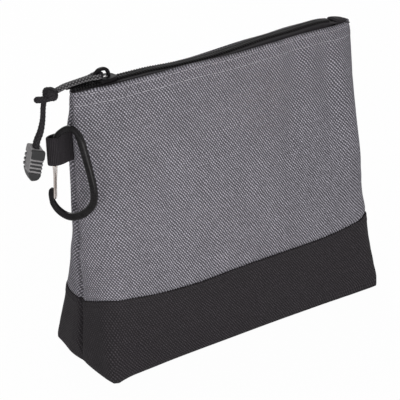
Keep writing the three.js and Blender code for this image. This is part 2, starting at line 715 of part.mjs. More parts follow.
// The gate: two legs of wire, a pivot through the bar's tongue and a cross end in the nose
function carabinerGate() {
  const leg = TONGUE_THICKNESS / 2 + GAP + GATE_WIRE / 2;
  const radius = GATE_WIRE / 2;
  const wire = (from, to) => solid(pin(from, to, radius, 8));
  return toGeometry(
    wire(point(0, -leg, GATE_PIVOT_Z + 0.3), point(GATE_CATCH_X, -leg, GATE_CATCH_Z - 0.5))
      .add(wire(point(0, leg, GATE_PIVOT_Z + 0.3), point(GATE_CATCH_X, leg, GATE_CATCH_Z - 0.5)))
      .add(wire(point(0, -leg, GATE_PIVOT_Z), point(0, leg, GATE_PIVOT_Z)))
      .add(wire(point(GATE_CATCH_X, -leg, GATE_CATCH_Z), point(GATE_CATCH_X, leg, GATE_CATCH_Z))),
  );
}

addMesh('front_panel', panel(-1), GREY_FABRIC);
addMesh('back_panel', panel(1), GREY_FABRIC);
addMesh('base_panel', basePanel(), BLACK_FABRIC);
for (const [name, end] of [['left', -1], ['right', 1]]) {
  addMesh(`side_seam_binding_${name}`, sideSeamBinding(end), BLACK_FABRIC);
  addMesh(`corner_seam_binding_${name}`, cornerSeamBinding(end), BLACK_FABRIC);
}
for (const [name, side] of [['front', -1], ['back', 1]]) {
  addMesh(`base_seam_binding_${name}`, baseSeamBinding(side), BLACK_FABRIC);
  addMesh(`zipper_tape_${name}`, zipperTape(side), ZIPPER_BLACK);
  addMesh(`zipper_teeth_${name}`, teethRow(side), ZIPPER_BLACK);
  addMesh(`zipper_top_stop_${name}`, topStop(side), SLIDER_METAL);
}
addMesh('zipper_bottom_stop', bottomStop(), SLIDER_METAL);
addMesh('zipper_end_tab', endTab(), BLACK_WEBBING);
addMesh('webbing_loop', webbingLoop(), BLACK_WEBBING);

addMesh('slider_body', sliderBody(), SLIDER_METAL);
addMesh('pull_cord_bight', cordBight(), CORD_BLACK);
addMesh('pull_cord_strand_front', cordStrand(-1), CORD_BLACK);
addMesh('pull_cord_strand_back', cordStrand(1), CORD_BLACK);
addMesh('pull_cord_knot', knot(), CORD_BLACK);
addMesh('pull_cord_end', cordEnd(), CORD_BLACK);
addMesh('pull_cord_drop', cordDrop(), CORD_BLACK);

const grip = new THREE.Group();
grip.position.copy(GRIP_TOP);
grip.rotation.copy(GRIP_ROTATION);
bag.add(grip);
addMesh('pull_grip_core', gripCore(), GRIP_BLACK, grip);
addMesh('pull_grip_shell', gripShell(), GRIP_GREY, grip);

const carabiner = new THREE.Group();
carabiner.position.set(EYE_X, 0, LOOP_TOP + GAP);
carabiner.rotation.z = degrees(CARABINER_TURN);
bag.add(carabiner);
addMesh('carabiner_body', carabinerBody(), CARABINER_BLACK, carabiner);
addMesh('carabiner_gate', carabinerGate(), STEEL, carabiner);

export default bag;
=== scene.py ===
from bisect import bisect_right
from math import copysign, cos, exp, hypot, pi, radians, sin, sqrt

import bmesh
import bpy
from mathutils import Matrix, Vector, noise


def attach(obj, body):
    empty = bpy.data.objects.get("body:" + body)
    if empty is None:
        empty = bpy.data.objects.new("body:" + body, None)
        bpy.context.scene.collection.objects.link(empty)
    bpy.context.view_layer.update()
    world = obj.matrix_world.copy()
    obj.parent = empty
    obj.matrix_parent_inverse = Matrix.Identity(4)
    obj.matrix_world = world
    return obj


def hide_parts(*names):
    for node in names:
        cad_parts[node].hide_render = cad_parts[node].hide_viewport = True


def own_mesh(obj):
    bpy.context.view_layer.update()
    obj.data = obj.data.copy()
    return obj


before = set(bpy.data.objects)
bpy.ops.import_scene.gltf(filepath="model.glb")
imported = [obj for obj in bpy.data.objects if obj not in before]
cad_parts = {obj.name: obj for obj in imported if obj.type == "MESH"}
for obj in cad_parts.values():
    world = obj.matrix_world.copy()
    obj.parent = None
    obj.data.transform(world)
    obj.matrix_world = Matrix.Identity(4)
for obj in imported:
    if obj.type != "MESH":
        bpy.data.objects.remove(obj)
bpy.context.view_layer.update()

# Sizes below are in millimetres, in the same frame as the CAD, and are scaled when a mesh is made
MM = 0.001
BASE_HALF_WIDTH = 125
TOP_HALF_WIDTH = 124
BASE_HALF_DEPTH = 42
MOUTH_HALF_DEPTH = 11
BAG_HEIGHT = 210
BASE_HEIGHT = 54
CLOTH = 1.4
BASE_CLOTH = 1.8
CORD_RADIUS = 1.7
CORD_STEP = 0.35
COARSE_STEP = 1.2
KNOT = Vector((-137.8, 0, 210.3))
KNOT_CORE = 4.9
SLIDER_X = -94
TAPE_TOP = 212.8
SIDES = ((-1, "front"), (1, "back"))


# Small tools

def clamp(value, low=0.0, high=1.0):
    return min(high, max(low, value))


def mix(a, b, share):
    return a + (b - a) * share


def smooth(value):
    """A share of 0 to 1, eased at both ends."""
    value = clamp(value)
    return value * value * (3 - 2 * value)


def bell(value, width):
    """1 at zero, and falling off to both sides."""
    return exp(-(value / width) ** 2)


def turns(count):
    """Even angles round a circle."""
    return [2 * pi * k / count for k in range(count)]


def quarter(steps):
    """Sine and cosine of even steps over a quarter turn."""
    return [(sin(a), cos(a)) for a in (pi / 2 * i / steps for i in range(steps + 1))]


def curve_at(x, table):
    """A smooth curve through a table of points, flat beyond its ends."""
    if x <= table[0][0]:
        return table[0][1]
    if x >= table[-1][0]:
        return table[-1][1]
    i = 0
    while x > table[i + 1][0]:
        i += 1

    def slope(k):
        if k == 0 or k == len(table) - 1:
            return 0.0
        return (table[k + 1][1] - table[k - 1][1]) / (table[k + 1][0] - table[k - 1][0])

    x0, y0 = table[i]
    x1, y1 = table[i + 1]
    h = x1 - x0
    t = (x - x0) / h
    a = (2 * t ** 3 - 3 * t ** 2 + 1) * y0 + (t ** 3 - 2 * t ** 2 + t) * h * slope(i)
    b = (-2 * t ** 3 + 3 * t ** 2) * y1 + (t ** 3 - t ** 2) * h * slope(i + 1)
    return a + b


def running_lengths(points):
    """Distances along a path, to each of its points."""
    out = [0.0]
    for a, b in zip(points, points[1:]):
        out.append(out[-1] + (b - a).length)
    return out


def step_at(lengths, distance):
    """The step of a path that holds a distance, and the share of that step before it."""
    i = min(max(bisect_right(lengths, distance) - 1, 0), len(lengths) - 2)
    return i, clamp((distance - lengths[i]) / max(1e-9, lengths[i + 1] - lengths[i]))


def resample(points, step):
    """Points at even steps along a smooth curve through the given points."""
    dense = []
    count = len(points)
    for i in range(count - 1):
        p0 = points[max(i - 1, 0)]
        p1 = points[i]
        p2 = points[i + 1]
        p3 = points[min(i + 2, count - 1)]
        for k in range(24):
            t = k / 24
            dense.append(0.5 * (2 * p1 + (p2 - p0) * t + (2 * p0 - 5 * p1 + 4 * p2 - p3) * t * t
                                + (3 * p1 - p0 - 3 * p2 + p3) * t ** 3))
    dense.append(points[-1].copy())
    lengths = running_lengths(dense)
    total = lengths[-1]
    steps = max(2, round(total / step))
    out = []
    for i in range(steps + 1):
        j, share = step_at(lengths, total * i / steps)
        out.append(dense[j].lerp(dense[j + 1], share))
    return out, total


def frames_along(path, start_up):
    """A tangent, side and up direction at each point of a path, without twist."""
    out = []
    up = start_up.normalized()
    for i in range(len(path)):
        before = path[max(i - 1, 0)]
        after = path[min(i + 1, len(path) - 1)]
        tangent = (after - before).normalized()
        up = (up - tangent * up.dot(tangent)).normalized()
        out.append((tangent, tangent.cross(up), up))
    return out


def link(name, data):
    made = bpy.data.objects.new(name, data)
    bpy.context.scene.collection.objects.link(made)
    return made


class Shape:
    """Collects points, faces and cloth coordinates, and becomes one mesh object."""

    def __init__(self):
        self.points = []
        self.faces = []
        self.coords = []
        self.slots = []

    def add(self, point, u=0.0, v=0.0):
        self.points.append(Vector(point))
        self.coords.append((u, v))
        return len(self.points) - 1

    def face(self, corners, slot=0):
        self.faces.append(tuple(corners))
        self.slots.append(slot)

    def grid(self, rows, close_columns=False, slot=0):
        """Faces between rows of point numbers."""
        for a, b in zip(rows, rows[1:]):
            count = len(a)
            for c in range(count if close_columns else count - 1):
                d = (c + 1) % count
                self.face((a[c], a[d], b[d], b[c]), slot)

    def fan(self, ring, slot=0, flip=False):
        """A cap over one ring of point numbers."""
        middle = sum((self.points[i] for i in ring), Vector()) / len(ring)
        centre = self.add(middle, *self.coords[ring[0]])
        for i, a in enumerate(ring):
            b = ring[(i + 1) % len(ring)]
            self.face((b, a, centre) if flip else (a, b, centre), slot)

    def skin(self, rings, slot=0):
        """A closed surface over rings of point numbers, capped at both ends."""
        self.grid(rings, close_columns=True, slot=slot)
        self.fan(rings[0], slot, flip=True)
        self.fan(rings[-1], slot)

    def make(self, name, body, materials, replaces=()):
        mesh = bpy.data.meshes.new(name)
        mesh.from_pydata([p * MM for p in self.points], [], self.faces)
        layer = mesh.uv_layers.new(name="cloth")
        for loop in mesh.loops:
            layer.data[loop.index].uv = self.coords[loop.vertex_index]
        for material in materials:
            mesh.materials.append(material)
        for polygon, slot in zip(mesh.polygons, self.slots):
            polygon.material_index = slot
            polygon.use_smooth = True
        mesh.validate()
        mesh.update()
        piece = link(name, mesh)
        outward(piece)
        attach(piece, body)
        if replaces:
            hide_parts(*replaces)
        return piece


def outward(piece):
    """Turns a closed mesh's faces so that they look out."""
    work = bmesh.new()
    work.from_mesh(piece.data)
    bmesh.ops.recalc_face_normals(work, faces=work.faces)
    work.to_mesh(piece.data)
    work.free()


def tube(shape, path, radius, sides, start_up=Vector((0, 0, 1)), relief=None):
    """A round bar along a path, whose radius can follow a relief over length and turn."""
    rows = []
    along = 0.0
    for i, (p, (_, side, up)) in enumerate(zip(path, frames_along(path, start_up))):
        if i:
            along += (p - path[i - 1]).length
        row = []
        for turn in turns(sides):
            r = radius(i / (len(path) - 1)) if callable(radius) else radius
            if relief:
                r += relief(along, turn)
            place = p + (side * cos(turn) + up * sin(turn)) * r
            row.append(shape.add(place, along, turn * r))
        rows.append(row)
    shape.skin(rows)


# Materials

class Value:
    """A number in a material's nodes, with ordinary arithmetic."""

    def __init__(self, look, socket):
        self.look = look
        self.socket = socket

    def __add__(self, other):
        return self.look.math("ADD", self, other)

    def __sub__(self, other):
        return self.look.math("SUBTRACT", self, other)

    def __rsub__(self, other):
        return self.look.math("SUBTRACT", other, self)

    def __mul__(self, other):
        return self.look.math("MULTIPLY", self, other)

    def __truediv__(self, other):
        return self.look.math("DIVIDE", self, other)

    def __pow__(self, other):
        return self.look.math("POWER", self, other)

    def __abs__(self):
        return self.look.math("ABSOLUTE", self)

    def floor(self):
        return self.look.math("FLOOR", self)

    def sine(self):
        """A sine whose half turn is one whole step of this number."""
        return self.look.math("SINE", self * pi)

    def cosine(self):
        return self.look.math("COSINE", self * pi)

    def wave(self):
        """From 0 up to 1 and back, once for each whole step of this number."""
        return abs(self.sine())


class Look:
    """One procedural material, with short names for its nodes."""

    def __init__(self, name, roughness, metallic=0.0, specular=0.12):
        self.material = bpy.data.materials.new(name)
        self.material.use_nodes = True
        self.tree = self.material.node_tree
        self.shader = self.tree.nodes["Principled BSDF"]
        self.shader.inputs["Roughness"].default_value = roughness
        self.shader.inputs["Metallic"].default_value = metallic
        self.shader.inputs["Specular IOR Level"].default_value = specular

    def node(self, kind, **values):
        made = self.tree.nodes.new(kind)
        for key, value in values.items():
            setattr(made, key, value)
        return made

    def plug(self, socket, value):
        value = getattr(value, "socket", value)
        if isinstance(value, bpy.types.NodeSocket):
            self.tree.links.new(value, socket)
        else:
            socket.default_value = value

    def math(self, operation, a, b=0.0):
        made = self.node("ShaderNodeMath", operation=operation)
        self.plug(made.inputs[0], a)
        self.plug(made.inputs[1], b)
        return Value(self, made.outputs[0])

    def ramp(self, value, low, high, to_low=0.0, to_high=1.0):
        made = self.node("ShaderNodeMapRange", interpolation_type="SMOOTHSTEP")
        for name, item in (("Value", value), ("From Min", low), ("From Max", high),
                           ("To Min", to_low), ("To Max", to_high)):
            self.plug(made.inputs[name], item)
        return Value(self, made.outputs["Result"])

    def cloth(self):
        """Distances along and across the cloth, in millimetres."""
        made = self.node("ShaderNodeUVMap", uv_map="cloth")
        split = self.node("ShaderNodeSeparateXYZ")
        self.plug(split.inputs[0], made.outputs[0])
        return Value(self, split.outputs[0]), Value(self, split.outputs[1])

    def grain(self, scale, detail=2.0):
        """Noise in the object's own space; scale is in waves per metre."""
        place = self.node("ShaderNodeTexCoord")
        made = self.node("ShaderNodeTexNoise")
        self.plug(made.inputs["Vector"], place.outputs["Object"])
        made.inputs["Scale"].default_value = scale
        made.inputs["Detail"].default_value = detail
        return Value(self, made.outputs["Fac"])

    def scatter(self, x, y):
        """A random number for each cell of x and y."""
        joined = self.node("ShaderNodeCombineXYZ")
        self.plug(joined.inputs[0], x.floor())
        self.plug(joined.inputs[1], y.floor())
        made = self.node("ShaderNodeTexWhiteNoise", noise_dimensions="3D")
        self.plug(made.inputs["Vector"], joined.outputs[0])
        return Value(self, made.outputs["Value"])

    def bump(self, height, distance):
        made = self.node("ShaderNodeBump")
        made.inputs["Strength"].default_value = 1.0
        made.inputs["Distance"].default_value = distance * MM
        self.plug(made.inputs["Height"], height)
        self.plug(self.shader.inputs["Normal"], made.outputs["Normal"])

    def paint(self, share, dark, light):
        made = self.node("ShaderNodeMix", data_type="RGBA")
        self.plug(made.inputs["Factor"], share)
        made.inputs[6].default_value = (*dark, 1)
        made.inputs[7].default_value = (*light, 1)
        self.plug(self.shader.inputs["Base Color"], made.outputs[2])

    def polish(self, grain, smoothest, roughest):
        self.plug(self.shader.inputs["Roughness"], self.ramp(grain, 0.3, 0.7, smoothest, roughest))


# The weave's blocks of two yarns
BLOCK_WIDTH = 1.12
BLOCK_HEIGHT = 1.47
# The braid's rise in half a turn round the cord, and its strands
BRAID_PITCH = 2.6
BRAID_STRANDS = 8
GROSGRAIN_PITCH = 1.15
TWILL_PITCH = 0.9


def woven(name, dark, light, weft):
    """Heavy basket weave: blocks of two upright yarns beside blocks of two level ones."""
    look = Look(name, roughness=0.85)
    x, y = look.cloth()
    wobble = (look.grain(90) - 0.5) * 1.6
    u = (x + wobble) / BLOCK_WIDTH
    v = (y + wobble) / BLOCK_HEIGHT
    # Blocks touch along one diagonal more than along the other
    weave = u.sine() * v.sine() * 0.78 - (u + v).cosine() * 0.22
    upright = look.ramp(weave, -0.1, 0.1)
    yarns = (u * 2).wave() * upright + (v * 2).wave() * (1.0 - upright)
    height = abs(weave) ** 0.5 * (yarns * 0.3 + 0.7)
    tone = look.ramp(weave, -0.1, 0.1, weft, 1.0) * height
    speck = look.scatter(u, v) * 0.35 + 0.82
    cloud = look.grain(28, detail=3.0) * 0.3 + 0.85
    look.paint(tone * speck * cloud, dark, light)
    look.bump(height, 0.3)
    return look.material


def ribbed(name, dark, light, pitch, cross, relief=0.2):
    """Ribs across a strap, each bound by fine threads."""
    look = Look(name, roughness=0.8)
    x, y = look.cloth()
    u = x / pitch
    v = y / cross + u.floor() * 0.5
    height = u.wave() ** 0.6 * (v.wave() * 0.35 + 0.65)
    speck = look.scatter(u, v) * 0.3 + 0.8
    look.paint(height * speck, dark, light)
    look.bump(height, relief)
    return look.material


def braided(name, dark, light, sharp):
    """Crossing strands round a cord, with fine fibres along each."""
    look = Look(name, roughness=0.75)
    x, y = look.cloth()
    travel = x / (BRAID_PITCH / 2)
    steps = y / (2 * pi * CORD_RADIUS) * BRAID_STRANDS
    a = travel + steps
    b = travel - steps
    height = (a * 0.5).wave() * (b * 0.5).wave()
    tone = height ** sharp * ((a * 3).wave() * 0.3 + 0.7)
    look.paint(tone, dark, light)
    look.bump(tone, 0.25)
    return look.material


def twilled(name, dark, light):
    """Fine slanting ribs, as on a zipper's tape."""
    look = Look(name, roughness=0.8)
    x, y = look.cloth()
    a = (x + abs(y)) / TWILL_PITCH
    rib = a.wave()
    speck = look.scatter(a, y / 0.7) * 0.4 + 0.75
    look.paint(rib * speck, dark, light)
    look.bump(rib, 0.12)
    return look.material


def moulded(name, dark, light, roughness=0.45):
    """Moulded plastic with a fine spark-eroded grain."""
    look = Look(name, roughness, specular=0.2)
    grain = look.grain(1500)
    cloud = look.grain(120)
    look.paint((grain + cloud) * 0.5, dark, light)
    look.polish(grain, roughness - 0.08, roughness + 0.12)
    look.bump(grain, 0.05)
    return look.material


def metal(name, dark, light, roughness, metallic, scratch=0.02, specular=0.5):
    """Metal or its coating, with slight scratches and an uneven polish."""
    look = Look(name, roughness, metallic, specular)
    grain = look.grain(900, detail=4.0)
    cloud = look.grain(150)
    look.paint(look.ramp(cloud, 0.3, 0.7), dark, light)
    look.polish(grain, roughness - 0.07, roughness + 0.1)
    look.bump(grain, scratch)
    return look.material


COATING = ((0.005, 0.0045, 0.005), (0.010, 0.009, 0.010))
GREY_CLOTH = woven("grey_cloth", (0.02, 0.019, 0.022), (0.53, 0.508, 0.57), 0.2)
BLACK_CLOTH = woven("black_cloth", (0.010, 0.009, 0.010), (0.062, 0.055, 0.061), 0.3)
GREY_THREAD = ribbed("grey_thread", (0.22, 0.21, 0.23), (0.56, 0.54, 0.58), 0.35, 0.3, relief=0.05)
BLACK_THREAD = ribbed("black_thread", (0.012, 0.011, 0.012), (0.05, 0.046, 0.05), 0.35, 0.3, relief=0.05)
GROSGRAIN = ribbed("grosgrain", (0.006, 0.005, 0.006), (0.036, 0.032, 0.036), GROSGRAIN_PITCH, 0.45,
                   relief=0.25)
BINDING = ribbed("binding_tape", (0.012, 0.011, 0.012), (0.05, 0.046, 0.05), 0.9, 0.5)
TAPE = twilled("zipper_tape", (0.007, 0.006, 0.007), (0.03, 0.027, 0.03))
TEETH = moulded("zipper_coil", (0.005, 0.0045, 0.005), (0.018, 0.017, 0.018))
CORD = braided("braided_cord", (0.006, 0.005, 0.006), (0.04, 0.037, 0.04), 0.5)
# The strands' cord is a lighter copy of the same cord: painted highlights on the braid's crowns and
# painted shade in its gaps, for the light that catches the strands from above
PAINTED_HIGHLIGHT_CORD = braided("braided_cord_painted_highlight", (0.004, 0.0035, 0.004), (0.3, 0.29, 0.3), 1.2)
SLIDER_COAT = metal("slider_coat", *COATING, 0.45, 0.0, specular=0.06)
BARE_METAL = metal("bare_metal", (0.42, 0.41, 0.40), (0.6, 0.59, 0.58), 0.3, 1.0)
STEEL = metal("wire_steel", (0.34, 0.29, 0.26), (0.50, 0.46, 0.44), 0.3, 1.0)
ANODISED = metal("anodised_black", *COATING, 0.24, 0.0, scratch=0.006, specular=0.12)
GRIP_BLACK = moulded("grip_black", (0.016, 0.016, 0.017), (0.04, 0.04, 0.041))
GRIP_GREY = moulded("grip_grey", (0.17, 0.162, 0.166), (0.28, 0.27, 0.275), roughness=0.5)


# Camera

CAMERA_AIM = Vector((0, 0, 105))
CAMERA_DISTANCE = 1000


def make_camera():
    azimuth, elevation, roll = (radians(value) for value in (-35.6, 23.3, -1.18))
    back = Vector((sin(azimuth) * cos(elevation),
                   -cos(azimuth) * cos(elevation), sin(elevation)))
    right = Vector((cos(azimuth), sin(azimuth), 0))
    up = back.cross(right)
    axis_x = right * cos(roll) + up * sin(roll)
    axis_y = up * cos(roll) - right * sin(roll)
    turn = Matrix((axis_x, axis_y, back)).transposed().to_4x4()
    place = (CAMERA_AIM + back * CAMERA_DISTANCE) * MM
    data = bpy.data.cameras.new("camera")
    data.sensor_width = 36
    data.lens = 119.25
    data.shift_x = -0.05
    data.shift_y = -0.03
    data.clip_start = 0.01
    data.clip_end = 20
    camera = link("camera", data)
    camera.matrix_world = Matrix.Translation(place) @ turn
    bpy.context.scene.camera = camera


make_camera()


# Pull cord: two strands from the slider's bridge to the knot, the knot, and the drop to the grip

def braid_relief(along, turn):
    a = pi * (along / BRAID_PITCH + 4 * turn / pi)
    b = pi * (along / BRAID_PITCH - 4 * turn / pi)
    return 0.4 * (abs(sin(a) * sin(b)) - 0.35)


def cord_piece(name, route, body, replaces, material, parts=(), radius=CORD_RADIUS):
    """A cord along a route, which leaves the slider or the knot at the route's first point."""
    path, total = resample(route, CORD_STEP)
    shape = Shape()
    tube(shape, path, radius, sides=24, relief=braid_relief)
    piece = shape.make(name, body, [material], replaces)
    track = [p * MM for p in resample(route, COARSE_STEP)[0]]
    total * MM


def strand_route(side):
    """One strand's middle line, from the bridge to the knot."""
    middle = [(-100.6, 3.5, 215.6), (-103.0, 3.4, 215.3), (-105.8, 2.8, 215.1), (-109.6, 2.0, 215.0),
              (-114.5, 1.7, 214.65), (-118.4, 1.65, 214.3), (-122.3, 1.65, 213.9), (-126.2, 1.65, 213.4),
              (-130.1, 1.6, 212.4), (-133.6, 1.5, 211.5)]
    return [Vector((x, side * y, z - 0.5 * side * smooth((-101 - x) / 5))) for x, y, z in middle]


def make_knot():
    """A knot pulled tight: a ball with three rings of cord round it."""
    shape = Shape()
    for lean, turn, radius, wrap in ((62, 24, 3.3, 2.35), (-28, -38, 3.0, 2.3), (10, 75, 2.9, 2.3)):
        tilt = Matrix.Rotation(radians(turn), 3, "Z") @ Matrix.Rotation(radians(lean), 3, "Y")
        ring = [KNOT + tilt @ Vector((radius * cos(a), radius * sin(a), 0))
                for a in turns(64) + [2 * pi]]
        tube(shape, ring, wrap, sides=18, relief=braid_relief, start_up=tilt @ Vector((0, 0, 1)))
    rows = []
    for i in range(1, 12):
        tilt = pi * i / 12
        ring = [KNOT + KNOT_CORE * Vector((sin(tilt) * cos(a), sin(tilt) * sin(a),
                                           cos(tilt))) for a in turns(20)]
        rows.append([shape.add(p, a * KNOT_CORE, tilt * KNOT_CORE) for p, a in zip(ring, turns(20))])
    shape.skin(rows)
    return shape.make("cord_knot", "pull", [CORD], ["pull_cord_knot"])


def cord_end_radius(share):
    return 2.15 - 0.8 * smooth((share - 0.88) / 0.12)


def make_cord_end():
    """The cut end of the cord beside the knot, melted to a blunt tip."""
    route = [Vector(p) for p in ((-139.5, -1.0, 207.9), (-143.5, -1.5, 208.2), (-147.3, -1.7, 208.8),
                                 (-150.6, -1.7, 209.5))]
    path, _ = resample(route, CORD_STEP)
    shape = Shape()
    tube(shape, path, cord_end_radius, sides=20, relief=braid_relief)
    shape.make("cord_cut_end", "pull", [CORD], ["pull_cord_end"])


def make_bight():
    """The cord's turn through the slider's bridge."""
    points = []
    for i in range(11):
        turn = pi * i / 10 - pi / 2
        points.append(Vector((-100.6 + 1.7 * max(0.0, cos(turn)) ** 0.7, 3.5 * sin(turn),
                              215.6 + 1.1 * max(0.0, cos(turn)))))
    path, _ = resample(points, CORD_STEP)
    shape = Shape()
    tube(shape, path, CORD_RADIUS, sides=20, relief=braid_relief)
    shape.make("cord_bight", "pull", [CORD], ["pull_cord_bight"])


knot_piece = make_knot()
make_cord_end()
make_bight()
# The two strands wear the copy of the cord with painted highlights on its braid
for side, side_name in SIDES:
    cord_piece(f"cord_strand_{side_name}", strand_route(side), "pull",
               [f"pull_cord_strand_{side_name}"], PAINTED_HIGHLIGHT_CORD, [knot_piece] if side < 0 else [])


# The bag's surface

# How far the cloth's lower edge lies above or below its straight line, by distance from the seam
SEAM_WAVE_LEFT = [(0, -3.2), (5, -2.4), (16, 1.4), (29, 5.2), (46, 4.4), (71, 0.8), (106, -1.5),
                  (142, -0.7)]
SEAM_WAVE_BACK = [(0, -3.2), (5, -3.2), (16, -3.4), (29, -2.0), (50, -0.3), (142, 0)]
SEAM_WAVE_RIGHT = [(0, -3.2), (5, -2.4), (16, 1.4), (29, 5.0), (40, 3.6), (55, 1.2), (80, -0.6),
                   (142, -0.5)]
# The height of the mouth's edge along the bag, front and back, and how far the mouth sways back
FRONT_EDGE = [(-124, 208.4), (-118, 208.6), (-108, 209.4), (-94, 209.7), (-82, 210.1), (-57, 210.7),
              (-40, 211.4), (-23, 211.3), (-5, 210.8), (13, 210.9), (36, 211.6), (60, 212.4), (75, 212.9),
              (90, 213.4), (104, 213.2), (117, 213.3), (124, 213.8)]
BACK_EDGE = [(-124, 208.6), (-110, 208.4), (-91, 207.9), (-81, 208.3), (-60, 208.5), (-36, 207.8),
             (-17, 207.9), (0, 208.9), (16, 210.1), (34, 211.2), (54, 211.6), (73, 212.9), (95, 213.7),
             (107, 213.0), (124, 213.8)]
MOUTH_SWAY = [(-124, 0), (-98, 0), (-45, -0.6), (0, 0.5), (45, 1.4), (72, 2.3), (92, 1.2), (110, 0.6),
              (124, 0)]
# How far the zipper lies above or below its straight line
CHAIN_LIFT = [(-124, -2.6), (-110, -2.6), (-97, -2.3), (-87, -2.3), (-74, -2.0), (-61, -1.8), (-48, -2.3),
              (-37, -2.8), (-20, -2.9), (-5, -2.7), (9, -1.9), (24, -0.7), (39, 0.6), (54, 1.2), (70, 1.7),
              (85, 3.0), (97, 3.5), (108, 2.2), (117, 1.6), (124, 0.3)]
# How far the left end's edge stands out from its plain line, by height
LEFT_EDGE = [(0, 0), (40, 0), (50, -0.4), (61, -1.2), (72, -0.8), (88, 0.1), (101, -1.3), (118, 0),
             (137, 0.4), (165, 0.8), (182, 1.2), (195, -0.8), (212, -1.6)]
# How far the front swells beside the right side seam, by height
RIGHT_CORNER = [(0, 0.0), (18, 0.0), (34, 1.4), (50, 2.8), (64, 3.0), (74, 2.8), (84, 3.8), (92, 5.2),
                (108, 6.3), (125, 6.0), (150, 5.4), (170, 4.6), (190, 3.4), (205, 1.6), (212, 0.6)]
# The cloth's points near a side seam, and how many steps lie over half of the rest
NEAR_SEAM = [0, 0.4, 0.9, 1.5, 2.2, 3.1, 4.3, 6, 8, 10.5, 13]
CLOTH_COLUMNS = 52


def section(z):
    """Half the width and depth at a height, and how deep and how long its corners are rounded."""
    share = z / BAG_HEIGHT
    width = mix(BASE_HALF_WIDTH, TOP_HALF_WIDTH, share)
    depth = mix(BASE_HALF_DEPTH, MOUTH_HALF_DEPTH, share)
    radius = 4 + 0.25 * z - 2.4 * (1 - smooth(z / 45))
    return width, depth, min(depth, radius), mix(radius, 40, smooth((share - 0.5) * 2))


def outline(z, pull=0.0):
    """Half the section at a height, from the left seam round to the right seam, with lengths."""
    width, depth, corner_depth, corner_length = section(z)
    width -= pull
    depth -= pull
    corner_depth = min(depth, corner_depth)
    corner = [(width - corner_length * (1 - c), depth - corner_depth * (1 - s)) for s, c in quarter(28)]
    flat = depth - corner_depth
    end = [(width, flat * k / 4) for k in range(4)] if flat > 0.4 else []
    half = end + corner
    points = [(-x, y) for x, y in half]
    straight = width - corner_length
    points += [(-straight + 2 * straight * k / 12, depth) for k in range(1, 12)]
    points += [(x, y) for x, y in reversed(half)]
    lengths = [0.0]
    for a, b in zip(points, points[1:]):
        lengths.append(lengths[-1] + hypot(b[0] - a[0], b[1] - a[1]))
    return points, lengths


def along_outline(table, distance):
    """The place on an outline at a distance from the left seam."""
    points, lengths = table
    i, share = step_at(lengths, distance)
    return [mix(a, b, share) for a, b in zip(points[i], points[i + 1])]


def column_places(length):
    """Distances from the left seam, close together near both seams."""
    rest = length - 2 * NEAR_SEAM[-1]
    middle = [NEAR_SEAM[-1] + rest * k / (2 * CLOTH_COLUMNS) for k in range(1, 2 * CLOTH_COLUMNS)]
    return NEAR_SEAM + middle + [length - d for d in reversed(NEAR_SEAM)]


def seam_wave(side, distance, length):
    """How far the seam between the two cloths lies above or below its straight line."""
    if side > 0:
        return curve_at(min(distance, length - distance), SEAM_WAVE_BACK)
    if distance < length / 2:
        return curve_at(distance, SEAM_WAVE_LEFT)
    return curve_at(length - distance, SEAM_WAVE_RIGHT)


def soft_form(side, x, z, from_seam):
    """How far the cloth stands out from its plain form."""
    # Broad and small dents, and a belly in the middle
    calm = smooth(from_seam / 30)
    out = 1.5 * noise.noise(Vector((x / 55, z / 75, 3.1 * side))) * calm
    out += 0.8 * noise.noise(Vector((x / 20, z / 40, 9.7 * side))) * calm
    out += 1.4 * exp(-(x / 85) ** 2 - ((z - 105) / 55) ** 2)
    # The swell beside the right seam, and folds that run down from the mouth
    if side < 0:
        out += curve_at(z, RIGHT_CORNER) * (bell(from_seam - 19, 16) if x > 0 else 0)
        out -= 3.0 * bell(x - 62 + 0.22 * (190 - z), 9) * smooth((z - 90) / 60) * smooth((212 - z) / 14)
        out -= 2.8 * bell(x - 93, 8) * smooth((z - 110) / 50) * smooth((212 - z) / 9)
        out += 1.2 * bell(x - 79, 8) * smooth((z - 150) / 40) * smooth((212 - z) / 14)
        out -= 0.8 * bell(x + 72, 14) * smooth((z - 150) / 50)
    else:
        out -= 1.3 * bell(x + 40, 12) * smooth((z - 130) / 40) * smooth((212 - z) / 14)
    return out


def end_form(from_seam, z):
    """The side seam's groove, and the cloth that swells beside it."""
    low = smooth((z - 3) / 14)
    groove = (-2.7 * bell(from_seam, 1.9) + 0.7 * bell(from_seam - 4.6, 2.0)) * low
    groove *= 1 - 0.6 * smooth((z - 197) / 12)
    swell = 1.3 * bell(from_seam - 9, 7) * low * smooth((150 - z) / 60)
    return groove + swell


def surface(rows, sign, closed=False):
    """Normals of a grid of points, by its neighbours."""
    out = []
    for r, row in enumerate(rows):
        above = rows[min(r + 1, len(rows) - 1)]
        below = rows[max(r - 1, 0)]
        line = []
        for c in range(len(row)):
            right = row[(c + 1) % len(row) if closed else min(c + 1, len(row) - 1)]
            left = row[c - 1 if closed else max(c - 1, 0)]
            line.append((right - left).cross(above[c] - below[c]).normalized() * sign)
        out.append(line)
    return out


def offset(points, normals, inward, rise=0.0):
    """A row of points moved in along its normals, and up."""
    return [p - n * inward + Vector((0, 0, rise)) for p, n in zip(points, normals)]


HEM_DEPTH = 11.2
HEM_THICKNESS = 2.1
STITCH_ROWS = (2.5, 9.4)
# Distances of the cloth's points below the mouth, as far as the hem needs them
HEM_ROWS = [0, 0.5, 1.1, 1.8, 2.5, 3.2, 4.2, 5.6, 7.2, 8.4, 9.4, 10.1, 10.8, 11.6, 12.8, 14.5, 17]


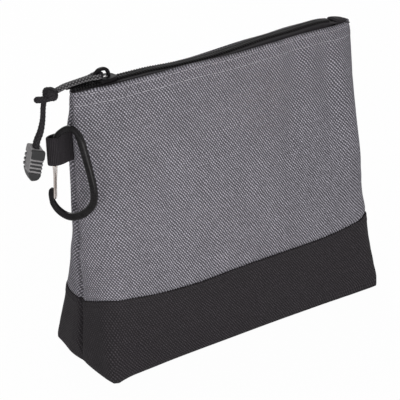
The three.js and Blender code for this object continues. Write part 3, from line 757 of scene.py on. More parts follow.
def make_panel(side):
    """Half the bag above its base: a hem along the mouth, two rows of stitches and both seams."""
    low = BASE_HEIGHT
    full = BAG_HEIGHT - low
    shares = [1 - h / full for h in HEM_ROWS]
    shares += [shares[-1] * (1 - k / 46) for k in range(1, 47)]
    shares.reverse()
    edge = FRONT_EDGE if side < 0 else BACK_EDGE
    base_rows, facts = [], []
    for share in shares:
        nominal = mix(low, BAG_HEIGHT, share)
        table = outline(nominal)
        length = table[1][-1]
        row, fact = [], []
        for distance in column_places(length):
            x, y = along_outline(table, distance)
            from_seam = min(distance, length - distance)
            z = nominal + (curve_at(x, edge) - BAG_HEIGHT) * smooth((share - 0.35) / 0.65)
            z += seam_wave(side, distance, length) * (1 - share) ** 3
            sway = curve_at(x, MOUTH_SWAY) * smooth((z - 140) / 70)
            row.append(Vector((x, side * y + sway, z)))
            fact.append((distance, length, from_seam, (1 - share) * full, nominal))
        base_rows.append(row)
        facts.append(fact)
    normals = surface(base_rows, -side)
    outer = []
    for row, line, fact in zip(base_rows, normals, facts):
        placed = []
        for p, n, (distance, length, from_seam, down, nominal) in zip(row, line, fact):
            out = soft_form(side, p.x, p.z, from_seam) * smooth(down / 6 + 0.25) * smooth((p.z - 50) / 16)
            out += end_form(from_seam, nominal)
            if p.x < 0:
                out += curve_at(p.z, LEFT_EDGE) * bell(from_seam - 4, 13)
            out += 0.45 * smooth(HEM_DEPTH - down)
            out -= sum(0.3 * bell(down - stitched, 0.7) for stitched in STITCH_ROWS)
            out += 0.12 * sin(distance * 2 * pi / 6.6) * bell(down - 6, 4)
            base_top = BASE_HEIGHT + seam_wave(side, distance, length)
            out -= 1.2 * smooth((2.6 - (p.z - base_top)) / 2.6)
            placed.append(p + n * out)
        outer.append(placed)
    return outer, normals, facts


# How far the panel's cloth runs on below its seam, and how high stitches lie over the cloth
TUCK = 6
STITCH_LIFT = 0.05


def panel_piece(side, side_name):
    """Makes one panel, and returns the lines that its stitches lie on."""
    outer, normals, facts = make_panel(side)
    shape = Shape()
    rings = []

    def add_row(points, fact):
        return [shape.add(p, f[0] - f[1] / 2, -f[3]) for p, f in zip(points, fact)]

    # The cloth's lower edge runs on behind the base's upper edge
    tuck = offset(outer[0], normals[0], 0.5, -TUCK)
    rings.append(add_row(tuck, [(f[0], f[1], f[2], f[3] + TUCK) for f in facts[0]]))
    for points, fact in zip(outer, facts):
        rings.append(add_row(points, fact))
    for rise, inward in ((0.75, 0.3), (1.0, 1.05), (0.75, 1.8)):
        rings.append(add_row(offset(outer[-1], normals[-1], inward, rise), facts[-1]))
    for points, line, fact in zip(reversed(outer), reversed(normals), reversed(facts)):
        inner = [p - n * mix(CLOTH, HEM_THICKNESS, smooth(HEM_DEPTH - f[3]))
                 for p, n, f in zip(points, line, fact)]
        rings.append(add_row(inner, fact))
    shape.grid(rings)
    # Close the lower edge and both seam edges
    for c in range(len(rings[0]) - 1):
        shape.face((rings[-1][c], rings[-1][c + 1], rings[0][c + 1], rings[0][c]))
    for c in (0, -1):
        edge = [ring[c] for ring in rings]
        for i in range(len(edge) // 2 - 1):
            shape.face((edge[i], edge[i + 1], edge[-2 - i], edge[-1 - i]))
    shape.make(f"{side_name}_cloth", "bag", [GREY_CLOTH], [f"{side_name}_panel"])
    rows = [next(r for r, fact in enumerate(facts) if abs(fact[0][3] - down) < 0.01)
            for down in STITCH_ROWS]
    return [(offset(outer[r], normals[r], -STITCH_LIFT), normals[r]) for r in rows]


STITCH_PITCH = 3.4
STITCH_LENGTH = 2.5


def stitches(shape, line, normals, radius, start=4.0):
    """A row of short thread loops lying on a line over the cloth."""
    lengths = running_lengths(line)

    def at(distance):
        i, share = step_at(lengths, distance)
        return line[i].lerp(line[i + 1], share), normals[i].lerp(normals[i + 1], share).normalized()

    distance = start
    while distance + STITCH_LENGTH < lengths[-1] - start:
        rows = []
        for share, size in ((0, 0.35), (0.2, 0.85), (0.5, 1.0), (0.8, 0.85), (1, 0.35)):
            place = distance + share * STITCH_LENGTH
            p, n = at(place)
            tangent = (at(place + 0.2)[0] - p).normalized()
            side = tangent.cross(n)
            height = 0.16 * sin(pi * share) - 0.12
            rows.append([shape.add(p + n * (height + radius * size * sin(a))
                                   + side * radius * size * cos(a),
                                   share * STITCH_LENGTH, a * radius) for a in turns(6)])
        shape.skin(rows)
        distance += STITCH_PITCH


hem_threads = Shape()
for line_points, line_normals in [line for side in SIDES for line in panel_piece(*side)]:
    stitches(hem_threads, line_points, line_normals, 0.3)
hem_threads.make("hem_stitches", "bag", [GREY_THREAD])


# The base: its row of stitches, and its lower edge's plain radius and real radius along the bag
BASE_STITCHES = 51.4
EDGE = 4.6
EDGE_RADIUS = [(-125, 4.6), (-95, 5.2), (-70, 6.0), (-30, 5.4), (20, 4.4), (55, 2.8), (90, 1.4),
               (125, 1.2)]

# How far the base swells near its lower edge at the left end, by distance from the seam
LOW_FRONT = [(0, 2.4), (5, 2.8), (15, 3.1), (26, 3.0), (33, 2.8), (38, 2.4), (43, 1.5), (48, 0.4), (56, 0)]
LOW_BACK = [(0, 2.4), (6, 2.9), (12, 3.2), (18, 3.0), (28, 1.6), (36, 0.7), (44, 0.4), (52, 0)]

# How many rows down the fold of the upper edge reaches inside
FOLD_ROW = 12
# Where the base's cloth coordinates start, below those of the panels
BASE_CLOTH_START = -160


def make_base():
    """The black base: a tub of cloth whose upper edge is folded over the grey cloth."""
    heights = [BASE_HEIGHT, 53.4, 52.8, 52.1, BASE_STITCHES, 50.6, 49.4, 47.5, 45, 42, 38.5, 35, 31, 27,
               23, 19, 15.5, 12, 9, 6.5]
    steps = [(z, 0.0) for z in heights]
    steps += [(EDGE * (1 - s), EDGE * (1 - c)) for s, c in quarter(6)[1:]]
    steps += [(0.0, pull) for pull in (7, 11, 17, 24, 32, 39.5)]
    rows, facts = [], []
    travel = 0.0
    last = None
    for z, pull in steps:
        table = outline(z, pull)
        length = table[1][-1]
        places = column_places(length)
        row, fact = [], []
        for side in (-1, 1):
            for distance in (places[:-1] if side < 0 else places[:0:-1]):
                x, y = along_outline(table, distance)
                wave = seam_wave(side, distance, length) * smooth((z - 8) / 46)
                row.append(Vector((x, side * y, z + wave)))
                fact.append((side, distance, length, min(distance, length - distance), z, pull))
        if last:
            travel += hypot(z - last[0], pull - last[1])
        last = (z, pull)
        rows.append(row)
        facts.append((fact, travel))
    normals = surface(rows, -1, closed=True)
    outer = []
    for row, line, (fact, _) in zip(rows, normals, facts):
        placed = []
        for p, n, (side, distance, length, from_seam, z, pull) in zip(row, line, fact):
            calm = smooth(from_seam / 30) * smooth(z / 12)
            out = 0.8 * noise.noise(Vector((p.x / 48, z / 40, 4.4 * side))) * calm
            out += 0.3 * noise.noise(Vector((p.x / 16, z / 20, 1.7 * side))) * calm
            out += 1.2 * exp(-(p.x / 85) ** 2) * smooth(z / 30)
            out += end_form(from_seam, z) * (0.8 if pull < 0.1 else 0.0)
            low = smooth((48 - z) / 44)
            if p.x < 0:
                out += curve_at(p.z, LEFT_EDGE) * bell(from_seam - 4, 13)
                out += low * curve_at(from_seam, LOW_FRONT if side < 0 else LOW_BACK)
            elif side < 0:
                out += low * 1.4 * bell(from_seam - 44, 26)
                out += curve_at(z, RIGHT_CORNER) * bell(from_seam - 19, 16)
            out += 0.45 * smooth((z - 47) / 3) - 0.35 * bell(z - BASE_STITCHES, 0.6)
            place = p + n * out
            if 0 < pull <= EDGE:
                level = Vector((n.x, n.y, 0)).normalized() if pull < EDGE else Vector((0, side, 0))
                place += (1 - curve_at(p.x, EDGE_RADIUS) / EDGE) * (level * pull - Vector((0, 0, z)))
            place.z = max(0.0, place.z)
            placed.append(place)
        outer.append(placed)
    shape = Shape()
    rings = []

    def add_row(points, fact, travel):
        return [shape.add(p, (f[1] - f[2] / 2) * (1 if f[0] < 0 else -1), BASE_CLOTH_START - travel)
                for p, f in zip(points, fact)]

    def inner_row(row):
        return offset(outer[row], normals[row], BASE_CLOTH)

    # The folded upper edge, from the inside over to the outside
    for row in range(FOLD_ROW, -1, -1):
        rings.append(add_row(inner_row(row), facts[row][0], 0))
    for rise, inward in ((0.55, 1.6), (0.85, 0.95), (0.6, 0.25)):
        rings.append(add_row(offset(outer[0], normals[0], inward, rise), facts[0][0], 0))
    for points, (fact, travel) in zip(outer, facts):
        rings.append(add_row(points, fact, travel))
    shape.grid(rings, close_columns=True)
    shape.fan(rings[-1])
    inside = [[shape.add(p) for p in inner_row(row)] for row in range(FOLD_ROW, len(outer))]
    shape.grid(inside, close_columns=True)
    shape.fan(inside[-1])
    shape.make("base_cloth", "bag", [BLACK_CLOTH], ["base_panel"])
    row = heights.index(BASE_STITCHES)
    line = offset(outer[row], normals[row], -STITCH_LIFT)
    return line + line[:1], normals[row] + normals[row][:1]


base_threads = Shape()
stitches(base_threads, *make_base(), 0.28, start=2.0)
base_threads.make("base_stitches", "bag", [BLACK_THREAD])


# Bars and plates

def sweep(shape, path, ring_at, start_up=Vector((0, 0, 1)), slot=0):
    """A bar along a path; ring_at(number, share) gives its section's points as (across, up)."""
    rows = []
    along = 0.0
    last = len(path) - 1
    for i, (p, (_, side, up)) in enumerate(zip(path, frames_along(path, start_up))):
        if i:
            along += (p - path[i - 1]).length
        ring = ring_at(i, i / last)
        row = []
        around = 0.0
        for k, (a, b) in enumerate(ring):
            if k:
                around += hypot(a - ring[k - 1][0], b - ring[k - 1][1])
            row.append(shape.add(p + side * a + up * b, along, around))
        rows.append(row)
    shape.skin(rows, slot)


def rounded(width, height, corner, steps=4):
    """A rectangle's outline with round corners, centred."""
    out = []
    for number in range(4):
        cx = (width / 2 - corner) * (1 if number in (0, 3) else -1)
        cy = (height / 2 - corner) * (1 if number < 2 else -1)
        for k in range(steps + 1):
            turn = pi / 2 * (number + k / steps)
            out.append((cx + corner * cos(turn), cy + corner * sin(turn)))
    return out


def plate(shape, corners, low, high, edge):
    """A flat plate with rounded edges over an outline that runs round its middle."""
    points = [Vector((*p, 0)) for p in corners]
    middle = sum(points, Vector()) / len(points)

    def ring(inward, z):
        row = []
        for k, here in enumerate(points):
            tangent = (points[(k + 1) % len(points)] - points[k - 1]).normalized()
            normal = Vector((tangent.y, -tangent.x, 0))
            if normal.dot(here - middle) < 0:
                normal = -normal
            p = here - normal * inward
            row.append(shape.add((p.x, p.y, z), p.x, p.y))
        return row

    rows = [ring(edge * (1 - s), low + edge * (1 - c)) for s, c in quarter(3)]
    rows += [ring(edge * (1 - c), high - edge * (1 - s)) for s, c in quarter(3)]
    shape.skin(rows)


# Zipper

# Where the tapes, the teeth and the end tab start and stop
TAPE_LEFT = -123.9
TAPE_RIGHT = 121.3
TEETH_LEFT = -121.2
TEETH_RIGHT = 105.4
TEETH_PITCH = 2.2
TAB_LEFT = 109.4
TAB_RIGHT = 121.2
TAB_RIB_PITCH = 1.1


def mouth_half_depth(x):
    """Half the mouth's width inside the cloth, which narrows in a round at both ends."""
    width = TOP_HALF_WIDTH - 2.4
    depth = MOUTH_HALF_DEPTH - CLOTH
    past = (abs(x) - (width - 40)) / 40
    return depth * sqrt(max(0.0, 1 - max(0.0, past) ** 2))


def make_tape(side, side_name):
    """One tape: level beside the teeth, and falling into the bag where the mouth is wide."""
    shape = Shape()
    rows = []
    thin = 0.8
    x = TAPE_LEFT
    while x < TAPE_RIGHT:
        mouth = mouth_half_depth(x) - 0.35
        is_open = smooth((mouth - 7.6) / 1.2)
        flat = 6.2 if abs(x) > 113 else min(7.0, mouth + 2)
        edge = mix(flat + 0.25, mouth, is_open)
        fall = 2.0 * is_open
        drop = mix(0.8, 8.8, is_open)
        over = [(2.6, 0.0), (3.9, 0.05), (5.2, 0.05), (flat, 0.0)]
        over += [(mix(flat, edge, s), -fall * s * s) for s in (0.25, 0.5, 0.75, 0.93)]
        over += [(edge, -fall - drop * s) for s in (0.12, 0.5, 1.0)]
        inner = [(edge - mix(0.1, thin, is_open), -fall - drop)]
        inner += [(mix(flat, edge - thin, is_open), -fall - thin)]
        inner += [(flat - 0.5, -thin), (2.6, -thin)]
        lift = curve_at(x, CHAIN_LIFT)
        hem = curve_at(x, FRONT_EDGE if side < 0 else BACK_EDGE) - BAG_HEIGHT
        sway = curve_at(x, MOUTH_SWAY)
        row = []
        for y, z in over + inner:
            down = smooth((y - flat + 1) / max(0.5, edge - flat + 1)) * is_open
            height = TAPE_TOP + z + mix(lift, hem - 1.0, down)
            row.append(shape.add((x, side * y + sway, height), x, y * side))
        rows.append(row)
        x += 1.9
    shape.skin(rows)
    return shape.make(f"tape_{side_name}", "bag", [TAPE], [f"zipper_tape_{side_name}"])


# One tooth's sections: share of its length, half its width, and its height from low to high
TOOTH = ((0.0, 0.42, 0.55, 1.35), (0.06, 0.62, 0.2, 1.75), (0.2, 0.72, 0.05, 1.95), (0.45, 0.6, 0.05, 2.0),
         (0.75, 0.58, 0.05, 1.85), (0.93, 0.5, 0.05, 1.35), (1.0, 0.3, 0.1, 0.8))


def make_teeth(side, side_name):
    """Turns of a moulded coil, half a pitch apart front and back."""
    shape = Shape()
    x = TEETH_LEFT + (0 if side < 0 else TEETH_PITCH / 2)
    while x < TEETH_RIGHT:
        spread = mix(1.4, 0.15, smooth((x + 103) / 11))
        lift = curve_at(x, CHAIN_LIFT)
        sway = curve_at(x, MOUTH_SWAY)
        rows = []
        for share, half, low, high in TOOTH:
            y = spread + share * 4.1
            middle = (low + high) / 2
            tall = (high - low) / 2
            rows.append([shape.add((x + half * cos(turn), side * y + sway,
                                    TAPE_TOP + 0.05 + middle + tall * sin(turn) + lift), y, x)
                         for turn in turns(8)])
        shape.skin(rows)
        x += TEETH_PITCH
    return shape.make(f"teeth_{side_name}", "bag", [TEETH], [f"zipper_teeth_{side_name}"])


def make_top_stop(side, side_name):
    """A pinched metal stop beside the last turn of the open tail, on each tape."""
    shape = Shape()
    lift = curve_at(-122.6, CHAIN_LIFT)
    path = [Vector((x, side * 3.6, TAPE_TOP + 1.0 + lift))
            for x in (-123.3, -123.0, -122.5, -122.1, -121.8)]
    ring = rounded(3.4, 2.0, 0.7)
    sizes = [0.7, 0.93, 1.0, 0.93, 0.7]
    sweep(shape, path, lambda i, s: [(a * sizes[i], b * sizes[i]) for a, b in ring])
    return shape.make(f"top_stop_{side_name}", "bag", [SLIDER_COAT],
                      [f"zipper_top_stop_{side_name}"])


def make_end_tab():
    """A folded tab of ribbed tape over the zipper's closed end."""
    shape = Shape()
    rows = []
    for i in range(34):
        x = mix(TAB_LEFT, TAB_RIGHT, i / 33)
        half = mix(7.0, 3.4, smooth((x - 113) / 9)) - 1.2 * (1 - smooth((x - 109.2) / 1.3)) * 0.5
        high = 1.5 * smooth((x - 109.2) / 1.6) * (1 - 0.5 * smooth((x - 118) / 4)) + 0.35
        rib = 0.13 * abs(sin(pi * x / TAB_RIB_PITCH))
        lift = curve_at(x, CHAIN_LIFT)
        sway = curve_at(x, MOUTH_SWAY)
        row = []
        edge = [(half, 0.0), (half + 0.1, high * 0.45), (half - 0.8, high * 0.85), (half - 2, high)]
        for y, z in [(-y, z) for y, z in edge] + [(0, high + 0.25)] + edge[::-1] + [(0, 0.0)]:
            top = rib if z > 0 else 0
            row.append(shape.add((x, y + sway, TAPE_TOP + 0.05 + z + top + lift), x, y))
        rows.append(row)
    shape.skin(rows)
    return shape.make("end_tab", "bag", [GROSGRAIN], ["zipper_end_tab"])


zipper_pieces = []
for side in SIDES:
    zipper_pieces += [make_tape(*side), make_teeth(*side)]
zipper_pieces += [make_top_stop(*side) for side in SIDES]
zipper_pieces.append(make_end_tab())


# Slider

def smooth_outline(corners, step=0.5):
    """A smooth closed outline through corners that are given from the slider's place."""
    points = [Vector((SLIDER_X + x, y, 0)) for x, y in corners]
    path, _ = resample([points[-1]] + points + points[:2], step)
    whole = len(path)

    def nearest(candidates):
        return min(candidates, key=lambda i: (path[i] - points[0]).length)

    start = nearest(range(whole // 3))
    end = nearest(range(whole * 2 // 3, whole))
    return [(p.x, p.y) for p in path[start:end]]


def make_slider():
    """Two plates joined by a post, with side flanges, the cord's arch and a bright bare-metal foot."""
    shape = Shape()
    x0 = SLIDER_X
    half = [(-10, 3.6), (-8.6, 5.9), (-5.6, 6.9), (-1.2, 6.8), (2.5, 6.2), (5.4, 5.1), (6.8, 3.2)]
    plan = smooth_outline([(x, -y) for x, y in half] + [(7.2, 0)] + half[::-1] + [(-9.3, 0)])
    plate(shape, plan, 212.6, 213.8, 0.55)
    plate(shape, plan, 208.5, 209.75, 0.5)
    for side in (-1, 1):
        path = [Vector((x0 + x, side * mix(6.25, 5.65, smooth(x / 8)), 212.2))
                for x in (-7.6, -6, -3, 0, 3, 5.2)]
        ring = rounded(1.1, 2.2, 0.4)
        sweep(shape, resample(path, 0.8)[0],
              lambda i, s: [(a * mix(0.4, 1, smooth(min(s, 1 - s) * 12)), b) for a, b in ring])
    post = [(-9.0, 0), (-7, -0.85), (-5.6, -0.5), (-5.2, 0), (-5.6, 0.5), (-7, 0.85)]
    plate(shape, smooth_outline(post, 0.3), 209.2, 213.4, 0.1)
    # The arch that the cord goes through
    arch = []
    for i in range(41):
        turn = pi * i / 40
        across = copysign(abs(cos(turn)) ** 0.75, cos(turn))
        arch.append(Vector((x0 - 3.2 - 5.15 * across, 0, 213.6 + 5.9 * sin(turn) ** 0.8)))
    bar = rounded(3.2, 2.3, 0.9)
    sweep(shape, arch, lambda i, s: bar, start_up=Vector((-1, 0, 0)))
    foot = [Vector((x, -0.6, 213.9)) for x in (x0 - 6.4, x0 - 4, x0 - 2, x0 + 0.6)]
    low_bar = rounded(1.9, 0.7, 0.3)
    sweep(shape, foot, lambda i, s: low_bar, slot=1)
    shape.make("slider_casting", "slider", [SLIDER_COAT, BARE_METAL], ["slider_body"])


make_slider()


# Webbing loop

EYE_X = -138.2
LOOP_LOW = 160.8
LOOP_HIGH = 180.8


def make_webbing_loop():
    """Webbing that leaves the side seam in two layers and turns round the carabiner."""
    along_half, deep_half = 4.3, 3.7
    layer = [Vector((-123.9, 1.0, 0)), Vector((-126.5, 1.05, 0)), Vector((-129.6, 1.3, 0))]
    route = list(layer)
    for i in range(13):
        turn = radians(62 + 236 * i / 12)
        route.append(Vector((EYE_X + along_half * cos(turn), deep_half * sin(turn), 0)))
    route += [Vector((p.x, -p.y, 0)) for p in reversed(layer)]
    path, _ = resample(route, 0.22)
    inside = LOOP_HIGH - LOOP_LOW - 2.4
    levels = [LOOP_LOW + 0.1, LOOP_LOW + 0.5] + [LOOP_LOW + 1.2 + inside * k / 16 for k in range(17)]
    levels += [LOOP_HIGH - 0.5, LOOP_HIGH - 0.1]
    shape = Shape()
    rows = []
    along = 0.0
    for i, (p, (_, side, _)) in enumerate(zip(path, frames_along(path, Vector((0, 0, 1))))):
        if i:
            along += (p - path[i - 1]).length
        rib = 0.3 * abs(sin(pi * along / GROSGRAIN_PITCH)) ** 0.7
        near = 1 - clamp((-124 - p.x) / 19)
        row = []
        for way in (1, -1):
            for z in (levels if way > 0 else reversed(levels)):
                at_edge = 1 - 0.45 * smooth(1 - min(z - LOOP_LOW, LOOP_HIGH - z) / 0.9)
                place = p + side * way * (0.5 + rib) * at_edge
                wave = 0.25 * sin(z * 1.9 + 0.4 * along) if z in (levels[0], levels[-1]) else 0
                lift = -0.9 - 0.4 * near + 1.6 * near * smooth((z - LOOP_LOW) / (LOOP_HIGH - LOOP_LOW))
                row.append(shape.add((place.x, place.y, z + lift + wave), along, z))
        rows.append(row)
    shape.skin(rows)
    shape.make("loop_webbing", "bag", [GROSGRAIN], ["webbing_loop"])


make_webbing_loop()


# Carabiner and its wire gate

CARABINER_PLACE = Matrix.Translation((EYE_X, 0, 181.1)) @ Matrix.Rotation(radians(-58), 4, "Z")
PIVOT_Z = -23.1
CATCH_X = -1.4
CATCH_Z = -46.6


def carabiner_route():
    """The bar's middle line in its own plane, from the nose round to the gate's pivot."""
    places = [(-3.3, -39.6), (-4.3, -42.5), (-4.5, -45.4), (-3.5, -50.4), (-0.2, -55.0), (5.1, -58.3),
              (10.8, -59.0), (17.6, -56.8), (23.3, -52.4), (26.9, -47.7), (28.6, -42.2), (28.5, -34.5),
              (26.3, -22.5), (23.5, -10.0), (22.1, -4.2), (20.9, -0.5), (18.8, 3.5), (16.3, 5.7),
              (13.5, 6.5), (10.5, 5.8), (7.3, 3.9), (4.0, 0.9), (1.7, -3.2), (0.5, -7.6), (0, -12.0),
              (0, -17.0), (0, PIVOT_Z + 0.5)]
    return [Vector((x, 0, z)) for x, z in places]


# The bar's width in its plane, by distance from its nose
BAR_WIDTH = [(0, 3.8), (8, 4.0), (20, 5.0), (42, 5.2), (60, 5.0), (78, 5.0), (98, 4.8), (112, 4.0),
             (150, 3.8)]
# The bar's depth across its plane, by distance from its nose
BAR_DEPTH = [(0, 3.9), (30, 4.1), (60, 4.4), (90, 4.8), (106, 4.4), (118, 3.8), (150, 3.8)]


def make_carabiner():
    path, total = resample(carabiner_route(), 0.6)
    shape = Shape()

    def ring_at(i, share):
        from_nose = share * total
        to_pivot = (1 - share) * total
        thin = min(smooth((from_nose - 9.6) / 1.0), smooth((to_pivot - 3.8) / 1.0))
        wide = curve_at(from_nose, BAR_WIDTH)
        tall = mix(2.2, curve_at(from_nose, BAR_DEPTH), thin)
        ends = min(sqrt(clamp((from_nose + 0.15) / 2.2)), sqrt(clamp((to_pivot + 0.15) / 2.0)))
        wide *= mix(0.3, 1, ends)
        cut = min(1.25, tall * 0.28, wide * 0.3)
        ring = []
        for sx, sy in ((1, 1), (-1, 1), (-1, -1), (1, -1)):
            flat = [(sx * wide / 2, sy * (tall / 2 - cut)),
                    (sx * (wide / 2 - 0.1), sy * (tall / 2 - cut + 0.25)),
                    (sx * (wide / 2 - cut + 0.25), sy * (tall / 2 - 0.1)),
                    (sx * (wide / 2 - cut), sy * tall / 2)]
            ring += flat if sx * sy > 0 else list(reversed(flat))
        return [(b, a) for a, b in ring]

    sweep(shape, path, ring_at, start_up=Vector((-1, 0, 0)))
    shape.points = [CARABINER_PLACE @ p for p in shape.points]
    shape.make("carabiner_bar", "carabiner", [ANODISED], ["carabiner_body"])


def make_gate():
    """The wire gate: out of one side of the bar, down to the nose and back to the other side."""
    wide, close = 1.8, 0.95
    half = [(0, 0.2, PIVOT_Z + 1.6), (0, -wide + 0.6, PIVOT_Z + 1.6), (0, -wide, PIVOT_Z + 0.8),
            (-0.1, -wide + 0.2, PIVOT_Z - 3), (-0.3, -close - 0.3, PIVOT_Z - 6.5),
            (-0.8, -close, PIVOT_Z - 12),
            (CATCH_X + 0.1, -close, CATCH_Z + 2.5), (CATCH_X - 0.1, -close + 0.1, CATCH_Z + 0.6),
            (CATCH_X - 0.2, -0.5, CATCH_Z - 0.1)]
    other = [(x, -y, z) for x, y, z in reversed(half)]
    path, _ = resample([CARABINER_PLACE @ Vector(p) for p in half + other], 0.4)
    shape = Shape()
    tube(shape, path, 0.72, sides=14, start_up=Vector((0.3, 1, 0.1)))
    shape.make("gate_wire", "gate", [STEEL], ["carabiner_gate"])


make_carabiner()
make_gate()


# Grip

GRIP_PLACE = (Matrix.Translation((-151.1, 0, 176)) @ Matrix.Rotation(radians(-3), 4, "Z")
              @ Matrix.Rotation(radians(8), 4, "Y") @ Matrix.Rotation(radians(11), 4, "X"))
# The grip's sections: height, left, right, front and back
GRIP_LEVELS = [(-25.0, -1.0, 1.8, -3.2, -1.0), (-24.6, -2.0, 2.7, -3.9, 0.2),
               (-23.6, -2.9, 3.6, -4.5, 1.4), (-21.4, -4.1, 4.6, -4.8, 3.3),
               (-18.2, -4.9, 4.8, -4.9, 5.0), (-15, -5.5, 4.9, -4.9, 5.9),
               (-11, -5.5, 5.0, -4.9, 5.9), (-6, -5.5, 5.2, -4.8, 5.4),
               (-2.5, -5.4, 5.2, -4.7, 5.0), (-0.9, -5.3, 5.0, -4.5, 4.9),
               (-0.2, -5.0, 4.5, -4.1, 4.6), (0, -4.4, 3.7, -3.4, 4.0)]
# Where its front ribs and its notches at the back lie
GRIP_RIBS = [-8.7, -11.6, -14.5, -17.4]
GRIP_NOTCHES = [-5.6, -9.2, -12.6, -16.0]


def grip_relief(x, y, z):
    """How far the grip's skin stands out at a place, and whether it is black there."""
    front = smooth((-y - 3.1) / 0.5)
    slanted = z + 0.24 * x
    inside = smooth((x + 5.0) / 0.3)
    if slanted < -18.9:
        return 0.0, True
    if front and slanted > -7.6 and inside:
        return 0.35 * inside * smooth((slanted + 7.7) / 0.3), True
    if front and slanted <= -7.6:
        rib = max(smooth((0.85 - abs(slanted - middle)) / 0.35) for middle in GRIP_RIBS)
        return -0.75 * (1 - rib) * front * inside, rib < 0.5 and inside > 0.5
    if y > 2.0 and abs(x) > 3.6 and z > -17.4:
        notch = max(smooth((0.95 - abs(z - middle)) / 0.3) for middle in GRIP_NOTCHES)
        return -0.9 * notch, notch > 0.4
    return 0.0, False


def make_grip():
    """A black core under a grey skin, which leaves a black block and cross grooves in front."""
    core = Shape()
    skin = Shape()

    def level(z):
        k, share = step_at([one[0] for one in GRIP_LEVELS], z)
        _, x0, x1, y0, y1 = (mix(a, b, share) for a, b in zip(GRIP_LEVELS[k], GRIP_LEVELS[k + 1]))
        ring = rounded(x1 - x0, y1 - y0, 1.15, 5)
        dense = []
        for n, (u, v) in enumerate(ring):
            du, dv = ring[(n + 1) % len(ring)]
            parts = max(1, round(hypot(du - u, dv - v) / 0.35))
            dense += [(mix(u, du, m / parts), mix(v, dv, m / parts)) for m in range(parts)]
        return [((x0 + x1) / 2 + u, (y0 + y1) / 2 + v) for u, v in dense]

    count = 88
    rows, marks = [], []
    heights = [-25.0, -24.85, -24.6, -24.1, -23.6, -22.6, -21.6, -20.8, -20.2, -19.6]
    heights += [-19.2 + 0.2 * k for k in range(1, 92)] + [-0.75, -0.5, -0.3, -0.1, 0]
    for z in heights:
        ring = level(z)
        row, mark = [], []
        for n in range(count):
            place = n / count * len(ring)
            u, v = ring[int(place) % len(ring)]
            du, dv = ring[(int(place) + 1) % len(ring)]
            share = place - int(place)
            x, y = mix(u, du, share), mix(v, dv, share)
            out, black = grip_relief(x, y, z)
            away = Vector((x, y * 0.9, 0)).normalized()
            fall = (0.2 * (x + 5.4) - 0.25 * max(0.0, y)) * smooth((z + 6) / 6)
            row.append(skin.add(GRIP_PLACE @ (Vector((x, y, z - fall)) + away * out), n * 0.4, z))
            mark.append(black)
        rows.append(row)
        marks.append(mark)
    for r in range(len(rows) - 1):
        for n in range(count):
            m = (n + 1) % count
            votes = marks[r][n] + marks[r][m] + marks[r + 1][n] + marks[r + 1][m]
            skin.face((rows[r][n], rows[r][m], rows[r + 1][m], rows[r + 1][n]), 1 if votes >= 2 else 0)
    skin.fan(rows[0], 1, flip=True)
    skin.fan(rows[-1], 0)
    skin.make("grip_skin", "grip", [GRIP_GREY, GRIP_BLACK], ["pull_grip_shell"])
    collar = []
    for z, radius in ((-3, 2.2), (-0.8, 2.3), (-0.35, 2.35), (-0.1, 2.15), (0.05, 1.9)):
        ring = [GRIP_PLACE @ Vector((radius * cos(a), radius * sin(a), z - 0.75))
                for a in turns(20)]
        collar.append([core.add(p, a, z) for p, a in zip(ring, turns(20))])
    core.skin(collar)
    return core.make("grip_core", "grip", [GRIP_BLACK], ["pull_grip_core"])


def drop_radius(share):
    """The cord spreads where it enters the grip."""
    return CORD_RADIUS + 0.6 * smooth((share - 0.3) / 0.5)


DROP_ROUTE = [Vector(p) for p in (
    (-141.8, 0.8, 207.4), (-142.9, 0.6, 204.5), (-143.7, 0.4, 201.5), (-144.9, 0, 194.0),
    (-147.2, 0, 186.0), (-150.4, 0, 179.9), (-151.6, 0.3, 175.0))]
cord_piece("cord_drop", DROP_ROUTE, "grip", ["pull_cord_drop"], CORD, [make_grip()],
           drop_radius)


# Bindings inside the bag

def strip(name, route, wide, thick, node, start_up):
    """A binding of one width and thickness along a route."""
    path, _ = resample([Vector(p) for p in route], COARSE_STEP)
    shape = Shape()
    ring = rounded(wide, thick, min(wide, thick) * 0.45, 3)
    sweep(shape, path, lambda i, s: ring, start_up=Vector(start_up))
    shape.make(name, "bag", [BINDING], [node])


for end, end_name in ((-1, "left"), (1, "right")):
    strip(f"side_binding_{end_name}",
          [(end * 117.4, 0, 64), (end * 117.2, 0, 120), (end * 116.8, 0, 191.5)],
          2.2, 8.6, f"side_seam_binding_{end_name}", (1, 0, 0))
    strip(f"corner_binding_{end_name}",
          [(end * 113.6, y, z) for y, z in ((-32.5, 3.5), (0, 3.6), (32.5, 3.5))],
          8.6, 2.2, f"corner_seam_binding_{end_name}", (0, 0, 1))
for side, side_name in SIDES:
    strip(f"base_binding_{side_name}", [(x, side * 31.2, 54) for x in (-90.5, 0, 90.5)],
          1.1, 8.6, f"base_seam_binding_{side_name}", (0, 0, 1))

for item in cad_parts["zipper_bottom_stop"].material_slots:
    item.material = SLIDER_COAT


# The tapes and their teeth are soft; each gets a mesh of its own
for piece in zipper_pieces:
    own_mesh(piece)


# Floor, lights and background

def blend_with_white(tree, surface, white, share, output):
    """Shows plain white instead of a surface, as far as the share says."""
    blend = tree.nodes.new("ShaderNodeMixShader")
    tree.links.new(share, blend.inputs[0])
    tree.links.new(surface.outputs[0], blend.inputs[1])
    tree.links.new(white.outputs[0], blend.inputs[2])
    tree.links.new(blend.outputs[0], tree.nodes[output].inputs["Surface"])


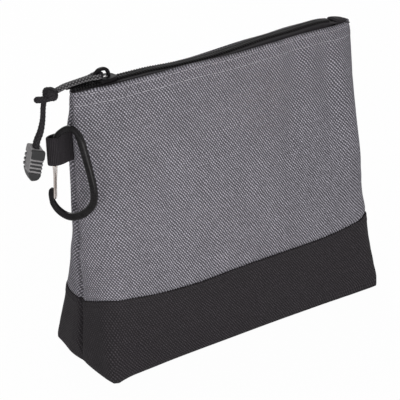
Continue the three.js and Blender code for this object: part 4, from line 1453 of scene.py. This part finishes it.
def make_floor():
    """A white floor: seen as plain white, and a dull surface for the light that it throws back."""
    shape = Shape()
    shape.grid([[shape.add((x, y, 0)) for x in (-2000, 0, 2000)] for y in (-2000, 0, 2000)])
    mesh = bpy.data.meshes.new("floor")
    mesh.from_pydata([p * MM for p in shape.points], [], shape.faces)
    look = Look("floor", roughness=0.9, specular=0.5)
    look.shader.inputs["Base Color"].default_value = (0.8, 0.8, 0.8, 1)
    path = look.node("ShaderNodeLightPath")
    seen = look.math("MAXIMUM", path.outputs["Is Camera Ray"], path.outputs["Is Glossy Ray"]) * 0.975
    white = look.node("ShaderNodeEmission")
    blend_with_white(look.tree, look.shader, white, seen.socket, "Material Output")
    mesh.materials.append(look.material)
    link("floor", mesh)


def area_light(name, place, aim, size, power):
    data = bpy.data.lights.new(name, "AREA")
    data.shape = "DISK"
    data.size = size
    data.energy = power
    lamp = link(name, data)
    lamp.location = Vector(place)
    lamp.rotation_euler = (Vector(aim) - Vector(place)).to_track_quat("-Z", "Y").to_euler()


def make_world():
    """A faint white light from everywhere, seen as plain white behind the object."""
    world = bpy.data.worlds.new("studio")
    world.use_nodes = True
    bpy.context.scene.world = world
    tree = world.node_tree
    light = tree.nodes["Background"]
    white = tree.nodes.new("ShaderNodeBackground")
    for background, strength in ((light, 0.36), (white, 1.0)):
        background.inputs[0].default_value = (1, 1, 1, 1)
        background.inputs[1].default_value = strength
    path = tree.nodes.new("ShaderNodeLightPath")
    either = tree.nodes.new("ShaderNodeMath")
    either.operation = "MAXIMUM"
    tree.links.new(path.outputs["Is Camera Ray"], either.inputs[0])
    tree.links.new(path.outputs["Is Glossy Ray"], either.inputs[1])
    blend_with_white(tree, light, white, either.outputs[0], "World Output")


make_floor()
make_world()
area_light("key", (-0.12, -0.64, 0.15), (0, 0, 0.1), 0.35, 2.15)
area_light("left", (-0.8, -0.42, 0.2), (-0.1, 0, 0.1), 0.4, 1.6)
area_light("side", (1.2, -0.5, 0.8), (0, 0, 0.1), 0.9, 1.5)
area_light("back", (0.3, 0.9, 1.1), (0, 0, 0.12), 0.8, 8)

bpy.context.scene.view_settings.view_transform = "Standard"
